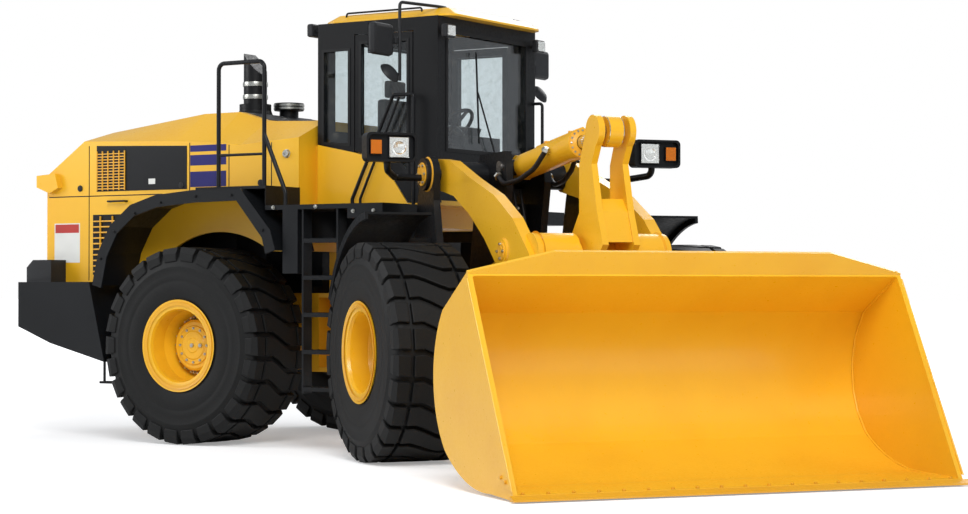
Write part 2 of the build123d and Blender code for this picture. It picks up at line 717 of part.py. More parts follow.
for end, frame in (("rear", REAR), ("front", FRONT)):
    x = -axle_reach if end == "rear" else axle_reach
    for name, hand in (("right", -1), ("left", 1)):
        centre = hand * half_track
        axis_point = frame.from_local_coords(Vector(x, centre, tyre_radius))
        wheel = Plane(origin=axis_point, x_dir=frame.z_dir, z_dir=hand * frame.y_dir)
        section = Plane(origin=axis_point, x_dir=hand * frame.y_dir, z_dir=frame.x_dir)
        sign = section.y_dir.Z
        turn = Axis(wheel.origin, wheel.z_dir)
        with BuildPart() as tyre:
            with BuildSketch(section) as carcass:
                Polygon(*[(offset, sign * radius) for offset, radius in carcass_profile], align=None)
            revolve(carcass.sketch, axis=turn)
            seats = []
            for i in range(lug_count):
                angle = radians(360 / lug_count * (i + 0.1))
                outward = wheel.x_dir * -cos(angle) + wheel.y_dir * sin(angle)
                seat = wheel.origin + outward * (tread_floor - 40)
                seats.append(Plane(origin=seat, x_dir=wheel.z_dir, z_dir=outward))
            with BuildSketch(*seats):
                Polygon(*lug, align=None)
            extrude(amount=lug_depth + 40 - lug_camber)
        save(tyre.part, "tyre_" + end + "_" + name)
        with BuildPart() as rim:
            with BuildSketch(section) as profile:
                with BuildLine():
                    edge = rim_half - 20 + 0.3
                    Polyline(
                        (-edge, sign * rim_bead_radius),
                        (edge, sign * rim_bead_radius),
                        (edge + 12, sign * (rim_bead_radius + 8)),
                        (edge + 26, sign * (rim_flange_radius - 8)),
                        (edge + 40, sign * rim_flange_radius),
                        (edge + 26, sign * (rim_bead_radius - 6)),
                        (edge, sign * (rim_bead_radius - rim_thickness)),
                        (180, sign * (rim_bead_radius - rim_thickness)),
                        (40, sign * 270),
                        (20, sign * 225),
                        (130, sign * 225),
                        (145, sign * 205),
                        (145, 0),
                        (dish, 0),
                        (dish, sign * 230),
                        (-20, sign * 300),
                        (-edge, sign * (rim_bead_radius - rim_thickness)),
                        close=True,
                    )
                make_face()
            revolve(profile.sketch, axis=turn)
        save(rim.part, "rim_" + end + "_" + name)

# ---------------------------------------------------------------- attachment

with BuildPart() as boom:
    arm = [
        (1150, 2450),
        (1400, 2422),
        (1850, 2262),
        (2350, 2105),
        (2720, 1915),
        (3040, 1640),
        (3260, 1330),
        (3480, 930),
        (3680, 650),
        (3830, 615),
        (3760, 350),
        (3600, 400),
        (3300, 620),
        (3000, 920),
        (2700, 1260),
        (2430, 1530),
        (2150, 1765),
        (1830, 1968),
        (1480, 2130),
        (1150, 2190),
    ]
    for hand in SIDES:
        with BuildSketch(side(hand * boom_arm_offset, FRONT)) as outline:
            Polygon(*arm, align=None)
            bends = [v for v in outline.vertices() if v.Z > 700 and FRONT.to_local_coords(v).X > 1200]
            fillet(bends, radius=380)
        extrude(outline.sketch, amount=boom_arm_thickness / 2, both=True)
        faces = (boom_arm_offset - boom_arm_thickness / 2, boom_arm_offset + boom_arm_thickness / 2)
        web = sorted((hand * faces[0], hand * faces[1]))
        crosspin(boom_pin, web, 130, FRONT)
        crosspin(hinge_pin, web, 140, FRONT)
        crosspin(hinge_pin, sorted((hand * (faces[0] - 12), hand * (faces[1] + 12))), 95, FRONT)
        boss = lift_cylinder_offset + eye_width / 2 + 6
        crosspin(lift_top, sorted((hand * boss, hand * boom_arm_offset)), 62, FRONT)
        crosspin(lift_top, sorted((hand * (faces[1] - 5), hand * (faces[1] + 20))), 95, FRONT)
        crosspin(crank_pin, sorted((hand * 205, hand * boom_arm_offset)), cross_tube_radius, FRONT)
        crosspin(crank_pin, sorted((hand * 162, hand * 210)), 110, FRONT)
        hole = sorted((hand * 480, hand * 680))
        crosspin(boom_pin, hole, boom_pin_radius + pin_play, FRONT, mode=Mode.SUBTRACT)
        crosspin(hinge_pin, hole, bucket_pin_radius + pin_play, FRONT, mode=Mode.SUBTRACT)
    crosspin(crank_pin, (-400, 400), crank_pin_radius + pin_play, FRONT, mode=Mode.SUBTRACT)
save(boom.part, "boom")

with BuildPart() as bucket_pins:
    for hand in SIDES:
        crosspin(hinge_pin, sorted((hand * 430, hand * 690)), bucket_pin_radius, FRONT)
save(bucket_pins.part, "bucket_pins")

with BuildPart() as crank_shaft:
    crosspin(crank_pin, (-400, 400), crank_pin_radius, FRONT)
save(crank_shaft.part, "crank_pin")

with BuildPart() as link_shaft:
    crosspin(crank_low, (-170, 170), link_pin_radius, FRONT)
save(link_shaft.part, "link_pin")

with BuildPart() as tilt_shaft:
    crosspin(tilt_base, (-215, 215), tilt_pin_radius, FRONT)
save(tilt_shaft.part, "tilt_base_pin")

with BuildPart() as bellcrank:
    crank = [
        (3081, 2560),
        (2967, 2316),
        (2967, 1950),
        (2770, 1720),
        (2750, 1500),
        (2785, 820),
        (2975, 820),
        (3180, 1480),
        (3394, 1699),
        (3290, 1950),
        (3190, 2316),
        (3331, 2560),
    ]
    for hand in SIDES:
        with BuildSketch(side(hand * crank_plate_offset, FRONT)) as outline:
            Polygon(*crank, align=None)
            bends = [v for v in outline.vertices() if 1400 < v.Z < 2400]
            fillet(bends, radius=110)
        extrude(outline.sketch, amount=crank_plate_thickness / 2, both=True)
        half = crank_plate_thickness / 2
        span = sorted((hand * (crank_plate_offset - half), hand * (crank_plate_offset + half)))
        crosspin(tilt_top, span, 125, FRONT)
        crosspin(crank_low, span, 97, FRONT)
    web = [(2967, 2050), (2967, 1950), (2790, 1720), (3360, 1720), (3280, 1950), (3190, 2050)]
    plate(web, 0, 2 * crank_plate_offset - 20, FRONT)
    crosspin(crank_pin, (-crank_plate_offset, crank_plate_offset), 130, FRONT)
    crosspin(crank_pin, (-300, 300), crank_pin_radius + pin_play, FRONT, mode=Mode.SUBTRACT)
    crosspin(crank_low, (-300, 300), link_pin_radius + pin_play, FRONT, mode=Mode.SUBTRACT)
save(bellcrank.part, "bellcrank")

horn_offset = 110
horn_thickness = 45
horn_face = horn_offset - horn_thickness / 2
with BuildPart() as tilt_link:
    drop = link_pin[1] - crank_low[1]
    shank = [(crank_low[0], 850), (link_pin[0], 850 + drop), (link_pin[0], 750 + drop), (crank_low[0], 750)]
    plate(shank, 0, eye_width, FRONT)
    for centre in (crank_low, link_pin):
        crosspin(centre, (-eye_width / 2, eye_width / 2), 85, FRONT)
    crosspin(link_pin, (5 - horn_face, horn_face - 5), link_pin_radius, FRONT)
    crosspin(crank_low, (-200, 200), link_pin_radius + pin_play, FRONT, mode=Mode.SUBTRACT)
save(tilt_link.part, "tilt_link")

# Bucket: outer line of the shell from the toe, round the back and up to the lip
guard_thickness = 28
with BuildPart() as bucket:
    toe = (5349, bucket_floor)
    heel = (4932, bucket_floor + 14)
    lip = (4534, 1486)
    with BuildSketch(side(0, FRONT)) as cheek:
        with BuildLine():
            Line(toe, heel)
            ThreePointArc(heel, (4396, 107), (4114, 257))
            ThreePointArc((4114, 257), (3900, 680), (4074, 1223))
            Line((4074, 1223), lip)
            Line(lip, toe)
        make_face()
    with BuildSketch(side(0, FRONT)) as hollow:
        with BuildLine():
            Polyline((5500, bucket_floor + 32), (5349, bucket_floor + 36), (4932, bucket_floor + 52))
            ThreePointArc((4932, bucket_floor + 52), (4404, 142), (4134, 285))
            ThreePointArc((4134, 285), (3932, 680), (4096, 1199))
            Polyline((4096, 1199), (4553, 1460), (5600, 1460), (5500, bucket_floor + 32))
        make_face()
    extrude(cheek.sketch, amount=bucket_half_width, both=True)
    guard_foot = FRONT.from_local_coords(Vector(4530, 0, 1470))
    rise = FRONT.from_local_coords(Vector(4530 + 78, 0, 1628)) - guard_foot
    with BuildSketch(Plane(origin=guard_foot, x_dir=FRONT.y_dir, z_dir=FRONT.y_dir.cross(rise))) as guard:
        height = rise.length
        wide = bucket_half_width
        Polygon((-wide, 0), (wide, 0), (wide, 20), (1083, height), (-1083, height), (-wide, 20), align=None)
    extrude(guard.sketch, amount=guard_thickness / 2, both=True)
    for hand in SIDES:
        for offset in (boom_arm_offset - 90, boom_arm_offset + 90):
            ear = [(3640, 470), (3700, 390), (3790, 365), (4116, 262), (3990, 500), (3915, 700), (3790, 615), (3690, 590)]
            plate(ear, hand * offset, 50, FRONT)
            crosspin(hinge_pin, sorted((hand * (offset - 25), hand * (offset + 25))), 118, FRONT)
            hole = sorted((hand * (offset - 40), hand * (offset + 40)))
            crosspin(hinge_pin, hole, bucket_pin_radius + pin_play, FRONT, mode=Mode.SUBTRACT)
        horn = [(3640, 700), (3915, 560), (3936, 700), (3955, 862), (4022, 1060), (3720, 865), (3620, 850)]
        plate(horn, hand * horn_offset, horn_thickness, FRONT)
        outer_face = sorted((hand * horn_face, hand * (horn_face + horn_thickness + 15)))
        crosspin(link_pin, outer_face, 85, FRONT)
    extrude(hollow.sketch, amount=bucket_half_width - bucket_wall, both=True, mode=Mode.SUBTRACT)
save(bucket.part, "bucket")

with BuildPart() as cutting_edge:
    edge = [(5349, bucket_floor), (5349, bucket_floor + 36), (5410, bucket_floor + 12), (5410, bucket_floor)]
    plate(edge, 0, 2 * bucket_half_width + 60, FRONT)
save(cutting_edge.part, "cutting_edge")

# ---------------------------------------------------------------- cylinders


class Ram:
    """A hydraulic cylinder between two pins, upright or lying in plan."""

    def __init__(self, start, end, barrel_radius, rod_radius, frame, eye_axis):
        first = frame.from_local_coords(Vector(*start))
        last = frame.from_local_coords(Vector(*end))
        self.first = first
        self.last = last
        self.length = (last - first).length
        self.line = (last - first).normalized()
        self.barrel_radius = barrel_radius
        self.rod_radius = rod_radius
        self.eye_axis = eye_axis

    def disc(self, reach, size):
        """Sketch of a circle across the cylinder, this far from its base pin."""
        with BuildSketch(Plane(origin=self.first + self.line * reach, z_dir=self.line)) as ring:
            Circle(size)
        return ring.sketch

    def eye(self, centre, size, mode=Mode.ADD, width=eye_width):
        """Ring round one of the pins."""
        with BuildSketch(Plane(origin=centre, z_dir=self.eye_axis)) as ring:
            Circle(size)
        extrude(ring.sketch, amount=width / 2, both=True, mode=mode)

    def barrel(self, reach, bore_start, eye_radius, pin_radius):
        """Bored tube with its head and its base eye."""
        start = eye_radius * 0.7
        extrude(self.disc(start, self.barrel_radius), amount=reach - start)
        extrude(self.disc(reach - 90, self.barrel_radius + 12), amount=90)
        self.eye(self.first, eye_radius)
        extrude(self.disc(bore_start, self.rod_radius + pin_play), amount=reach, mode=Mode.SUBTRACT)
        self.eye(self.first, pin_radius + pin_play, Mode.SUBTRACT, 2 * eye_width)

    def stem(self, start, eye_radius):
        """Rod from inside the tube to its eye."""
        extrude(self.disc(start, self.rod_radius), amount=self.length - start)
        self.eye(self.last, eye_radius)


lift_rams = []
for hand in SIDES:
    y = hand * lift_cylinder_offset
    ends = ((lift_base[0], y, lift_base[1]), (lift_top[0], y, lift_top[1]))
    lift_rams.append(Ram(*ends, lift_barrel_radius, lift_rod_radius, FRONT, FRONT.y_dir))

with BuildPart() as lift_barrels:
    for ram in lift_rams:
        ram.barrel(1290, 105, 90, lift_pin_radius)
save(lift_barrels.part, "lift_cylinder_barrels")

with BuildPart() as lift_rods:
    for ram in lift_rams:
        ram.stem(150, 80)
save(lift_rods.part, "lift_cylinder_rods")

tilt_ends = ((tilt_base[0], 0, tilt_base[1]), (tilt_top[0], 0, tilt_top[1]))
tilt_ram = Ram(*tilt_ends, tilt_barrel_radius, tilt_rod_radius, FRONT, FRONT.y_dir)
with BuildPart() as tilt_barrel:
    tilt_ram.barrel(1203, 115, 100, tilt_pin_radius)
save(tilt_barrel.part, "tilt_cylinder_barrel")

with BuildPart() as tilt_rod:
    tilt_ram.stem(565, 117)
save(tilt_rod.part, "tilt_cylinder_rod")

for name, hand, start in (("right", -1, 105), ("left", 1, 545)):
    base = (steer_base[0], hand * steer_base[1], steer_level)
    eye = FRONT.from_local_coords(Vector(steer_eye[0], hand * steer_eye[1], steer_level))
    steer_ram = Ram(base, tuple(eye), steer_barrel_radius, steer_rod_radius, REAR, REAR.z_dir)
    with BuildPart() as steer_barrel:
        steer_ram.barrel(940, 75, 60, steer_pin_radius)
    save(steer_barrel.part, "steer_barrel_" + name)
    with BuildPart() as steer_rod:
        steer_ram.stem(start, 55)
    save(steer_rod.part, "steer_rod_" + name)
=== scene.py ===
# %% [markdown]
# # Dressing an articulated wheel loader
# The engineering model already holds every plate, pin and joint at its real size. Here it
# gets its finishes and the small things that a designer leaves to the look: bolts, seams,
# louvres, lamps, hoses and tyre blocks. Everything is in metres, in the model's own frame:
# +X runs forward along the rear frame, +Y to the left, +Z up, and the front frame is parked
# turned to the right.

import math

import bpy
from mathutils import Matrix, Vector


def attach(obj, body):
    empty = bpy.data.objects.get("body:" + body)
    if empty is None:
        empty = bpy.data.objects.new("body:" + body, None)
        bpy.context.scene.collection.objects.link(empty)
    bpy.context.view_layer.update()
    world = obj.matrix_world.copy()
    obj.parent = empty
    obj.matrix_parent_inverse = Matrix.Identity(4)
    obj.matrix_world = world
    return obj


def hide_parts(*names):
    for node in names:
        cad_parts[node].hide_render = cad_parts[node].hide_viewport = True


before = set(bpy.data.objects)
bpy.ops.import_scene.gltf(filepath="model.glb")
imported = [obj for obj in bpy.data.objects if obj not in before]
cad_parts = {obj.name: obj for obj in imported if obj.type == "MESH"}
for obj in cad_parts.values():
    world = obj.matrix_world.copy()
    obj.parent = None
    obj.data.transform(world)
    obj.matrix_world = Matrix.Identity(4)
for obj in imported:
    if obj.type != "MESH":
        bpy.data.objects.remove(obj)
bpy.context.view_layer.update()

# %% [markdown]
# The front half of the machine is turned about the hitch. A piece that belongs to it is
# easiest to draw straight ahead, in the front frame's own directions, and to turn into
# place at the end. So the bodies of the rear half are named, and all others are turned.

# %% The two halves and the two sides
TO_FRONT = Matrix.Rotation(math.radians(-35.5), 4, "Z")
REAR_HALF = ("rear_body", "door_leaf", "wheel_rear_right", "wheel_rear_left")
# side, and the sign of Y there
SIDES = (("right", -1), ("left", 1))

# %% [markdown]
# A material is a tree of nodes. One small function adds a node of any kind: its settings
# name inputs or properties, its links name what feeds an input, and stops give a colour
# ramp its places and colours. A link from a whole node takes that node's first output.

# %% Adding nodes


def to_linear(code):
    """Turn an sRGB hex colour into the linear values that Blender mixes."""
    parts = [int(code[i:i + 2], 16) / 255 for i in (1, 3, 5)]
    lin = [c / 12.92 if c <= 0.04045 else ((c + 0.055) / 1.055) ** 2.4 for c in parts]
    return (*lin, 1.0)


def add(tree, kind, settings=None, links=None, stops=()):
    """Add a node with its settings, its links and, on a colour ramp, its stops."""
    new = tree.nodes.new(kind)
    for key, value in (settings or {}).items():
        if isinstance(key, int) or key in new.inputs.keys():
            new.inputs[key].default_value = value
        else:
            setattr(new, key, value)
    for key, source in (links or {}).items():
        socket = source.outputs[0] if isinstance(source, bpy.types.Node) else source
        tree.links.new(socket, new.inputs[key])
    for i, (position, code) in enumerate(stops):
        new.color_ramp.elements[i].position = position
        new.color_ramp.elements[i].color = to_linear(code)
    return new


def blank_finish(name):
    """New material with an empty tree, and the piece's own coordinates to draw patterns on."""
    material = bpy.data.materials.new(name)
    material.use_nodes = True
    material.node_tree.nodes.clear()
    place = add(material.node_tree, "ShaderNodeTexCoord").outputs["Object"]
    return material, material.node_tree, place


def per_mm(size):
    """Noise scale for a pattern this many millimetres across, on metre coordinates."""
    return 1000 / size

# %% [markdown]
# ## Finishes
# ** Sprayed enamel.** Plates and panels are sprayed with a two-pack machine enamel. It is a
# plastic film over steel, so it is not metallic: a fairly glossy clear surface over a solid
# colour. Three things keep it from looking like plastic: the colour drifts a little from
# panel to panel, dust lies near the ground, and the film has a faint orange peel, a few
# millimetres across, that breaks up reflections.

# %% Sprayed machine enamel
DUST_TOP = 1.1  # height at which the dust of the ground has thinned out


def enamel(name, colour, shade, dust, gloss=0.32, dust_most=0.35, shine=0.5):
    """Sprayed enamel: body colour, darker drift, dust that thins out with height."""
    material, tree, place = blank_finish(name)
    # Drift of the colour over about 700 mm, as between sprayed panels
    drift = add(tree, "ShaderNodeTexNoise", {"Scale": per_mm(700), "Detail": 3.0}, {"Vector": place})
    base = add(tree, "ShaderNodeValToRGB", None, {"Fac": drift}, ((0.30, shade), (0.55, colour)))
    # Fine mottle of 25 mm, from handling and washed off dirt
    mottle = add(tree, "ShaderNodeTexNoise", {"Scale": per_mm(25), "Detail": 6.0}, {"Vector": place})
    height = add(tree, "ShaderNodeSeparateXYZ", None, {"Vector": place}).outputs["Z"]
    fall = {"From Min": 0.0, "From Max": DUST_TOP, "To Min": dust_most, "To Max": 0.04}
    low = add(tree, "ShaderNodeMapRange", fall, {"Value": height})
    patch = add(tree, "ShaderNodeMath", {"operation": "MULTIPLY"}, {0: low, 1: mottle})
    soiled = add(
        tree,
        "ShaderNodeMix",
        {"data_type": "RGBA", 7: to_linear(dust)},
        {"Factor": patch, 6: base},
    )
    spread = {"From Min": 0.3, "From Max": 0.7, "To Min": gloss - 0.05, "To Max": gloss + 0.14}
    rough = add(tree, "ShaderNodeMapRange", spread, {"Value": mottle})
    # Orange peel: real ripples are 2 to 4 mm, drawn at 6 mm so that they show
    skin = add(tree, "ShaderNodeTexNoise", {"Scale": per_mm(6), "Detail": 1.0}, {"Vector": place})
    bump = add(tree, "ShaderNodeBump", {"Strength": 0.05, "Distance": 0.001}, {"Height": skin})
    shader = add(
        tree,
        "ShaderNodeBsdfPrincipled",
        {"Metallic": 0.0, "IOR": 1.5, "Specular IOR Level": shine,
         "Coat Weight": shine * 0.4, "Coat Roughness": 0.12},
        {"Base Color": soiled.outputs[2], "Roughness": rough, "Normal": bump},
    )
    add(tree, "ShaderNodeOutputMaterial", None, {"Surface": shader})
    return material


YELLOW = enamel("Sprayed_enamel_yellow", "#F0B71C", "#EBAF16", "#C9A05A", dust_most=0.22)
YELLOW_DEEP = enamel(
    "Sprayed_enamel_yellow_deep", "#E8A91A", "#DE9E14", "#A87C40", gloss=0.4, dust_most=0.28
)
SLATE = enamel(
    "Sprayed_enamel_slate", "#111316", "#0C0E11", "#3A3732", gloss=0.4, dust_most=0.2, shine=0.2
)
BLACK = enamel(
    "Sprayed_enamel_black", "#0E0F11", "#090A0C", "#35322D", gloss=0.42, dust_most=0.15, shine=0.2
)
WHITE = enamel("Sprayed_enamel_white", "#E9E9E4", "#D8D8D2", "#B9B2A4", gloss=0.35)
SIGNAL_RED = enamel("Sprayed_enamel_red", "#C22A1E", "#A82016", "#7A4A3A", gloss=0.35)
NAVY = enamel("Sprayed_enamel_night_blue", "#221F6B", "#1B1959", "#4A453E", gloss=0.34, shine=0.25)

# %% [markdown]
# **Tyre rubber** is natural rubber filled with carbon black, moulded in a hot steel mould.
# It is never quite black: it scatters a little light, and a skin of dry dust sits in the
# pores, most of it on the tread and low on the sidewall. Hoses, window seals and the
# moulded plastic of housings are finished the same way, each with a grain of its own.

# %% Moulded rubber and plastic


def rubber(name, colour, worn, dust, roughness, grain_mm):
    """Moulded rubber with dust in its grain."""
    material, tree, place = blank_finish(name)
    # Wear that drifts over about 260 mm
    drift = add(tree, "ShaderNodeTexNoise", {"Scale": per_mm(260), "Detail": 5.0}, {"Vector": place})
    base = add(tree, "ShaderNodeValToRGB", None, {"Fac": drift}, ((0.4, colour), (0.75, worn)))
    grit = add(
        tree, "ShaderNodeTexNoise", {"Scale": per_mm(grain_mm), "Detail": 8.0}, {"Vector": place}
    )
    settled = {"From Min": 0.45, "From Max": 0.8, "To Min": 0.0, "To Max": 0.45}
    dusty = add(tree, "ShaderNodeMapRange", settled, {"Value": grit})
    soiled = add(
        tree,
        "ShaderNodeMix",
        {"data_type": "RGBA", 7: to_linear(dust)},
        {"Factor": dusty, 6: base},
    )
    bump = add(tree, "ShaderNodeBump", {"Strength": 0.25, "Distance": 0.002}, {"Height": grit})
    shader = add(
        tree,
        "ShaderNodeBsdfPrincipled",
        {"Roughness": roughness, "IOR": 1.52, "Specular IOR Level": 0.25},
        {"Base Color": soiled.outputs[2], "Normal": bump},
    )
    add(tree, "ShaderNodeOutputMaterial", None, {"Surface": shader})
    return material


TYRE = rubber("Moulded_tyre_rubber", "#0B0C0D", "#111213", "#26241F", 0.6, 9)
HOSE = rubber("Hydraulic_hose_rubber", "#141416", "#1E1E21", "#3C3934", 0.5, 4)
SEAL = rubber("Window_seal_rubber", "#101113", "#18191B", "#2C2A27", 0.55, 5)
PLASTIC = rubber("Moulded_polypropylene", "#1C1D20", "#26282B", "#3A3835", 0.48, 3)

# %% [markdown]
# **Bare metals.** Cylinder rods are hard chrome plate, ground and polished round the bar,
# so they mirror their surroundings. Pins are bare carbon steel, ground bright by use, and
# bolts are zinc plated, a shade duller. All are true metals: the colour lives in the
# reflection, and roughness does the rest.

# %% Chrome plate, bare steel and zinc


def bare_metal(name, bright, dull, low_rough, high_rough, mark_mm, bump_depth=0.1):
    """A metal whose tone and polish wander over marks of this size."""
    material, tree, place = blank_finish(name)
    marks = add(
        tree, "ShaderNodeTexNoise", {"Scale": per_mm(mark_mm), "Detail": 7.0}, {"Vector": place}
    )
    tone = add(tree, "ShaderNodeValToRGB", None, {"Fac": marks}, ((0.35, dull), (0.6, bright)))
    spread = {"From Min": 0.3, "From Max": 0.7, "To Min": high_rough, "To Max": low_rough}
    rough = add(tree, "ShaderNodeMapRange", spread, {"Value": marks})
    relief = {"Strength": bump_depth, "Distance": 0.001}
    bump = add(tree, "ShaderNodeBump", relief, {"Height": marks})
    shader = add(
        tree,
        "ShaderNodeBsdfPrincipled",
        {"Metallic": 1.0},
        {"Base Color": tone, "Roughness": rough, "Normal": bump},
    )
    add(tree, "ShaderNodeOutputMaterial", None, {"Surface": shader})
    return material


CHROME = bare_metal("Hard_chrome_plate", "#DADDE0", "#C4C7CA", 0.08, 0.2, 14, bump_depth=0.02)
STEEL = bare_metal("Ground_carbon_steel", "#A9A6A1", "#77706A", 0.28, 0.5, 20)
ZINC = bare_metal("Zinc_plated_steel", "#C8C9C4", "#A8A79E", 0.25, 0.4, 8)
REFLECTOR = bare_metal(
    "Vacuum_metallised_reflector", "#F2F2F0", "#DCDCDA", 0.05, 0.12, 10, bump_depth=0.03
)

# %% [markdown]
# **Lamp lenses** are clear or coloured polycarbonate with moulded flutes a few millimetres
# wide, which scatter the light behind them. **Cab glass** is toughened soda-lime. It is
# drawn as a thin film of glass: mostly see-through, with a mirror that grows towards
# grazing angles, and a little dust on it.

# %% Polycarbonate lenses


def clear_sheet(name, tint, roughness, ripple, weight):
    """A see-through sheet whose flutes, 6 mm wide, bend what is behind it."""
    material, tree, place = blank_finish(name)
    flutes = add(tree, "ShaderNodeTexNoise", {"Scale": per_mm(6), "Detail": 1.0}, {"Vector": place})
    bump = add(tree, "ShaderNodeBump", {"Strength": ripple, "Distance": 0.002}, {"Height": flutes})
    shader = add(
        tree,
        "ShaderNodeBsdfPrincipled",
        {"Base Color": to_linear(tint), "Transmission Weight": weight, "Roughness": roughness,
         "IOR": 1.45},
        {"Normal": bump},
    )
    add(tree, "ShaderNodeOutputMaterial", None, {"Surface": shader})
    return material


LENS_CLEAR = clear_sheet("Clear_polycarbonate", "#F4F6F6", 0.06, 0.5, 0.9)
LENS_AMBER = clear_sheet("Amber_polycarbonate", "#F08A1C", 0.15, 0.4, 0.45)
LENS_RED = clear_sheet("Red_polycarbonate", "#C01A14", 0.15, 0.4, 0.4)

# %% Toughened glass


def pane(name, tint, film, dust_mm):
    """Thin glass: a tinted view through it, a mirror by angle, and a film of dust."""
    material, tree, place = blank_finish(name)
    specks = add(
        tree, "ShaderNodeTexNoise", {"Scale": per_mm(dust_mm), "Detail": 4.0}, {"Vector": place}
    )
    dusty = {"From Min": 0.5, "From Max": 0.8, "To Min": 0.0, "To Max": film}
    amount = add(tree, "ShaderNodeMapRange", dusty, {"Value": specks})
    through = add(tree, "ShaderNodeBsdfTransparent", {"Color": to_linear(tint)})
    dust = add(tree, "ShaderNodeBsdfDiffuse", {"Color": to_linear("#B8B4A8")})
    filmed = add(tree, "ShaderNodeMixShader", None, {0: amount, 1: through, 2: dust})
    mirror = add(tree, "ShaderNodeBsdfGlossy", {"Roughness": 0.03})
    slant = add(tree, "ShaderNodeLayerWeight", {"Blend": 0.25}).outputs["Facing"]
    share = add(tree, "ShaderNodeMapRange", {"To Min": 0.03, "To Max": 0.4}, {"Value": slant})
    shown = add(tree, "ShaderNodeMixShader", None, {0: share, 1: filmed, 2: mirror})
    add(tree, "ShaderNodeOutputMaterial", None, {"Surface": shown})
    return material


GLASS = pane("Toughened_glass", "#F5F9FA", 0.08, 60)

# %% [markdown]
# **Seat cloth** is a flat woven polyester. Its weave of 1.5 mm is far too fine to show, so
# it is drawn as crossed ribs about 30 mm apart, which still read as cloth from outside the
# cab.

# %% Woven seat cloth


def woven(name, warp, weft):
    """Crossed ribs as two wave patterns, one along each way of the cloth."""
    material, tree, place = blank_finish(name)
    # Bands lie 2 pi / 20 of a metre apart at scale 1, so 31 mm apart at scale 10
    threads = [
        add(
            tree,
            "ShaderNodeTexWave",
            {"Scale": 10.0, "bands_direction": way},
            {"Vector": place},
        ).outputs["Fac"]
        for way in ("Y", "DIAGONAL")
    ]
    cross = add(
        tree, "ShaderNodeMath", {"operation": "MULTIPLY"}, {0: threads[0], 1: threads[1]}
    )
    tone = add(tree, "ShaderNodeValToRGB", None, {"Fac": cross}, ((0.2, warp), (0.8, weft)))
    bump = add(tree, "ShaderNodeBump", {"Strength": 0.4, "Distance": 0.002}, {"Height": cross})
    shader = add(
        tree,
        "ShaderNodeBsdfPrincipled",
        {"Roughness": 0.85, "Sheen Weight": 0.3},
        {"Base Color": tone, "Normal": bump},
    )
    add(tree, "ShaderNodeOutputMaterial", None, {"Surface": shader})
    return material


CLOTH = woven("Woven_polyester_cloth", "#1E2023", "#3A3D42")
print("finishes:", len(bpy.data.materials))


# %% [markdown]
# ## Finish for every engineering piece
# The plates, pins and castings keep their exact shapes; they only need a finish. The table
# says which finish each node gets. Wheels, mirrors and lamps are refined further down.

# %% Finishes by node
WEARS = {
    "hood": YELLOW, "rear_frame": YELLOW_DEEP, "cab_base": YELLOW, "cab_roof": YELLOW,
    "front_frame": YELLOW, "boom": YELLOW, "bellcrank": YELLOW, "tilt_link": YELLOW,
    "bucket": YELLOW, "rear_axle": YELLOW_DEEP, "front_axle": YELLOW_DEEP,
    "lift_cylinder_barrels": YELLOW, "tilt_cylinder_barrel": YELLOW,
    "steer_barrel_right": YELLOW_DEEP, "steer_barrel_left": YELLOW_DEEP,
    "rim_rear_right": YELLOW, "rim_rear_left": YELLOW,
    "rim_front_right": YELLOW, "rim_front_left": YELLOW,
    "counterweight": SLATE, "rear_grille": BLACK, "exhaust_stack": BLACK, "air_intake": BLACK,
    "rear_fenders": SLATE, "decks": SLATE, "ladders": SLATE, "cab_shell": BLACK,
    "side_panel": BLACK, "door": BLACK, "mirrors": PLASTIC, "handrails": SLATE,
    # The lift tower's dark slate is painted shade, for the shadow it stands in between the boom's
    # arms.
    "lift_tower": SLATE, "control_valve": BLACK, "front_fenders": SLATE,
    "rear_lamps": PLASTIC, "headlamps": SLATE,
    "engine_and_transmission": SLATE, "console": PLASTIC, "steering_wheel": PLASTIC,
    "seat": CLOTH, "cab_glass": GLASS, "door_glass": GLASS, "cutting_edge": YELLOW_DEEP,
    "hitch_pins": STEEL, "bucket_pins": STEEL, "crank_pin": STEEL, "link_pin": STEEL,
    "tilt_base_pin": STEEL, "lift_cylinder_rods": CHROME, "tilt_cylinder_rod": CHROME,
    "steer_rod_right": CHROME, "steer_rod_left": CHROME,
    "tyre_rear_right": TYRE, "tyre_rear_left": TYRE,
    "tyre_front_right": TYRE, "tyre_front_left": TYRE,
}


def wear(obj, material):
    """Give an object one finish all over."""
    obj.data.materials.clear()
    obj.data.materials.append(material)


for node, finish in WEARS.items():
    if node in bpy.data.objects:
        wear(bpy.data.objects[node], finish)
print("finished nodes:", len(WEARS), "unfinished:", [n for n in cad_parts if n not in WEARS])

# %% [markdown]
# ## Ways of making the small pieces
# Nearly everything added here is one of two things. Plates, strips, lenses and seams are an
# outline pushed to a thickness with their edges broken. Caps, nuts, rings and tyres are a
# half section turned about an axis. Both start as one vertex that is extruded from point to
# point, as an outline is traced, so the shape is only ever as heavy as it has to be.

# %% Tracing, pushing and turning


def fresh():
    """Leave edit mode and let go of everything."""
    if bpy.context.mode != "OBJECT":
        bpy.ops.object.mode_set(mode="OBJECT")
    bpy.ops.object.select_all(action="DESELECT")


def trace(name, points, closed=True):
    """Extrude one vertex along a line of points; a closed line is filled with a face."""
    fresh()
    bpy.ops.mesh.primitive_plane_add(size=0.01)
    piece = bpy.context.object
    piece.name = piece.data.name = name
    bpy.ops.object.mode_set(mode="EDIT")
    bpy.ops.mesh.select_mode(type="VERT")
    bpy.ops.mesh.select_all(action="SELECT")
    bpy.ops.mesh.merge(type="CENTER")
    bpy.ops.transform.translate(value=Vector(points[0]))
    for here, there in zip(points, points[1:]):
        step = Vector(there) - Vector(here)
        bpy.ops.mesh.extrude_region_move(TRANSFORM_OT_translate={"value": step})
    bpy.ops.mesh.select_all(action="SELECT")
    if closed:
        bpy.ops.mesh.edge_face_add()
    return piece


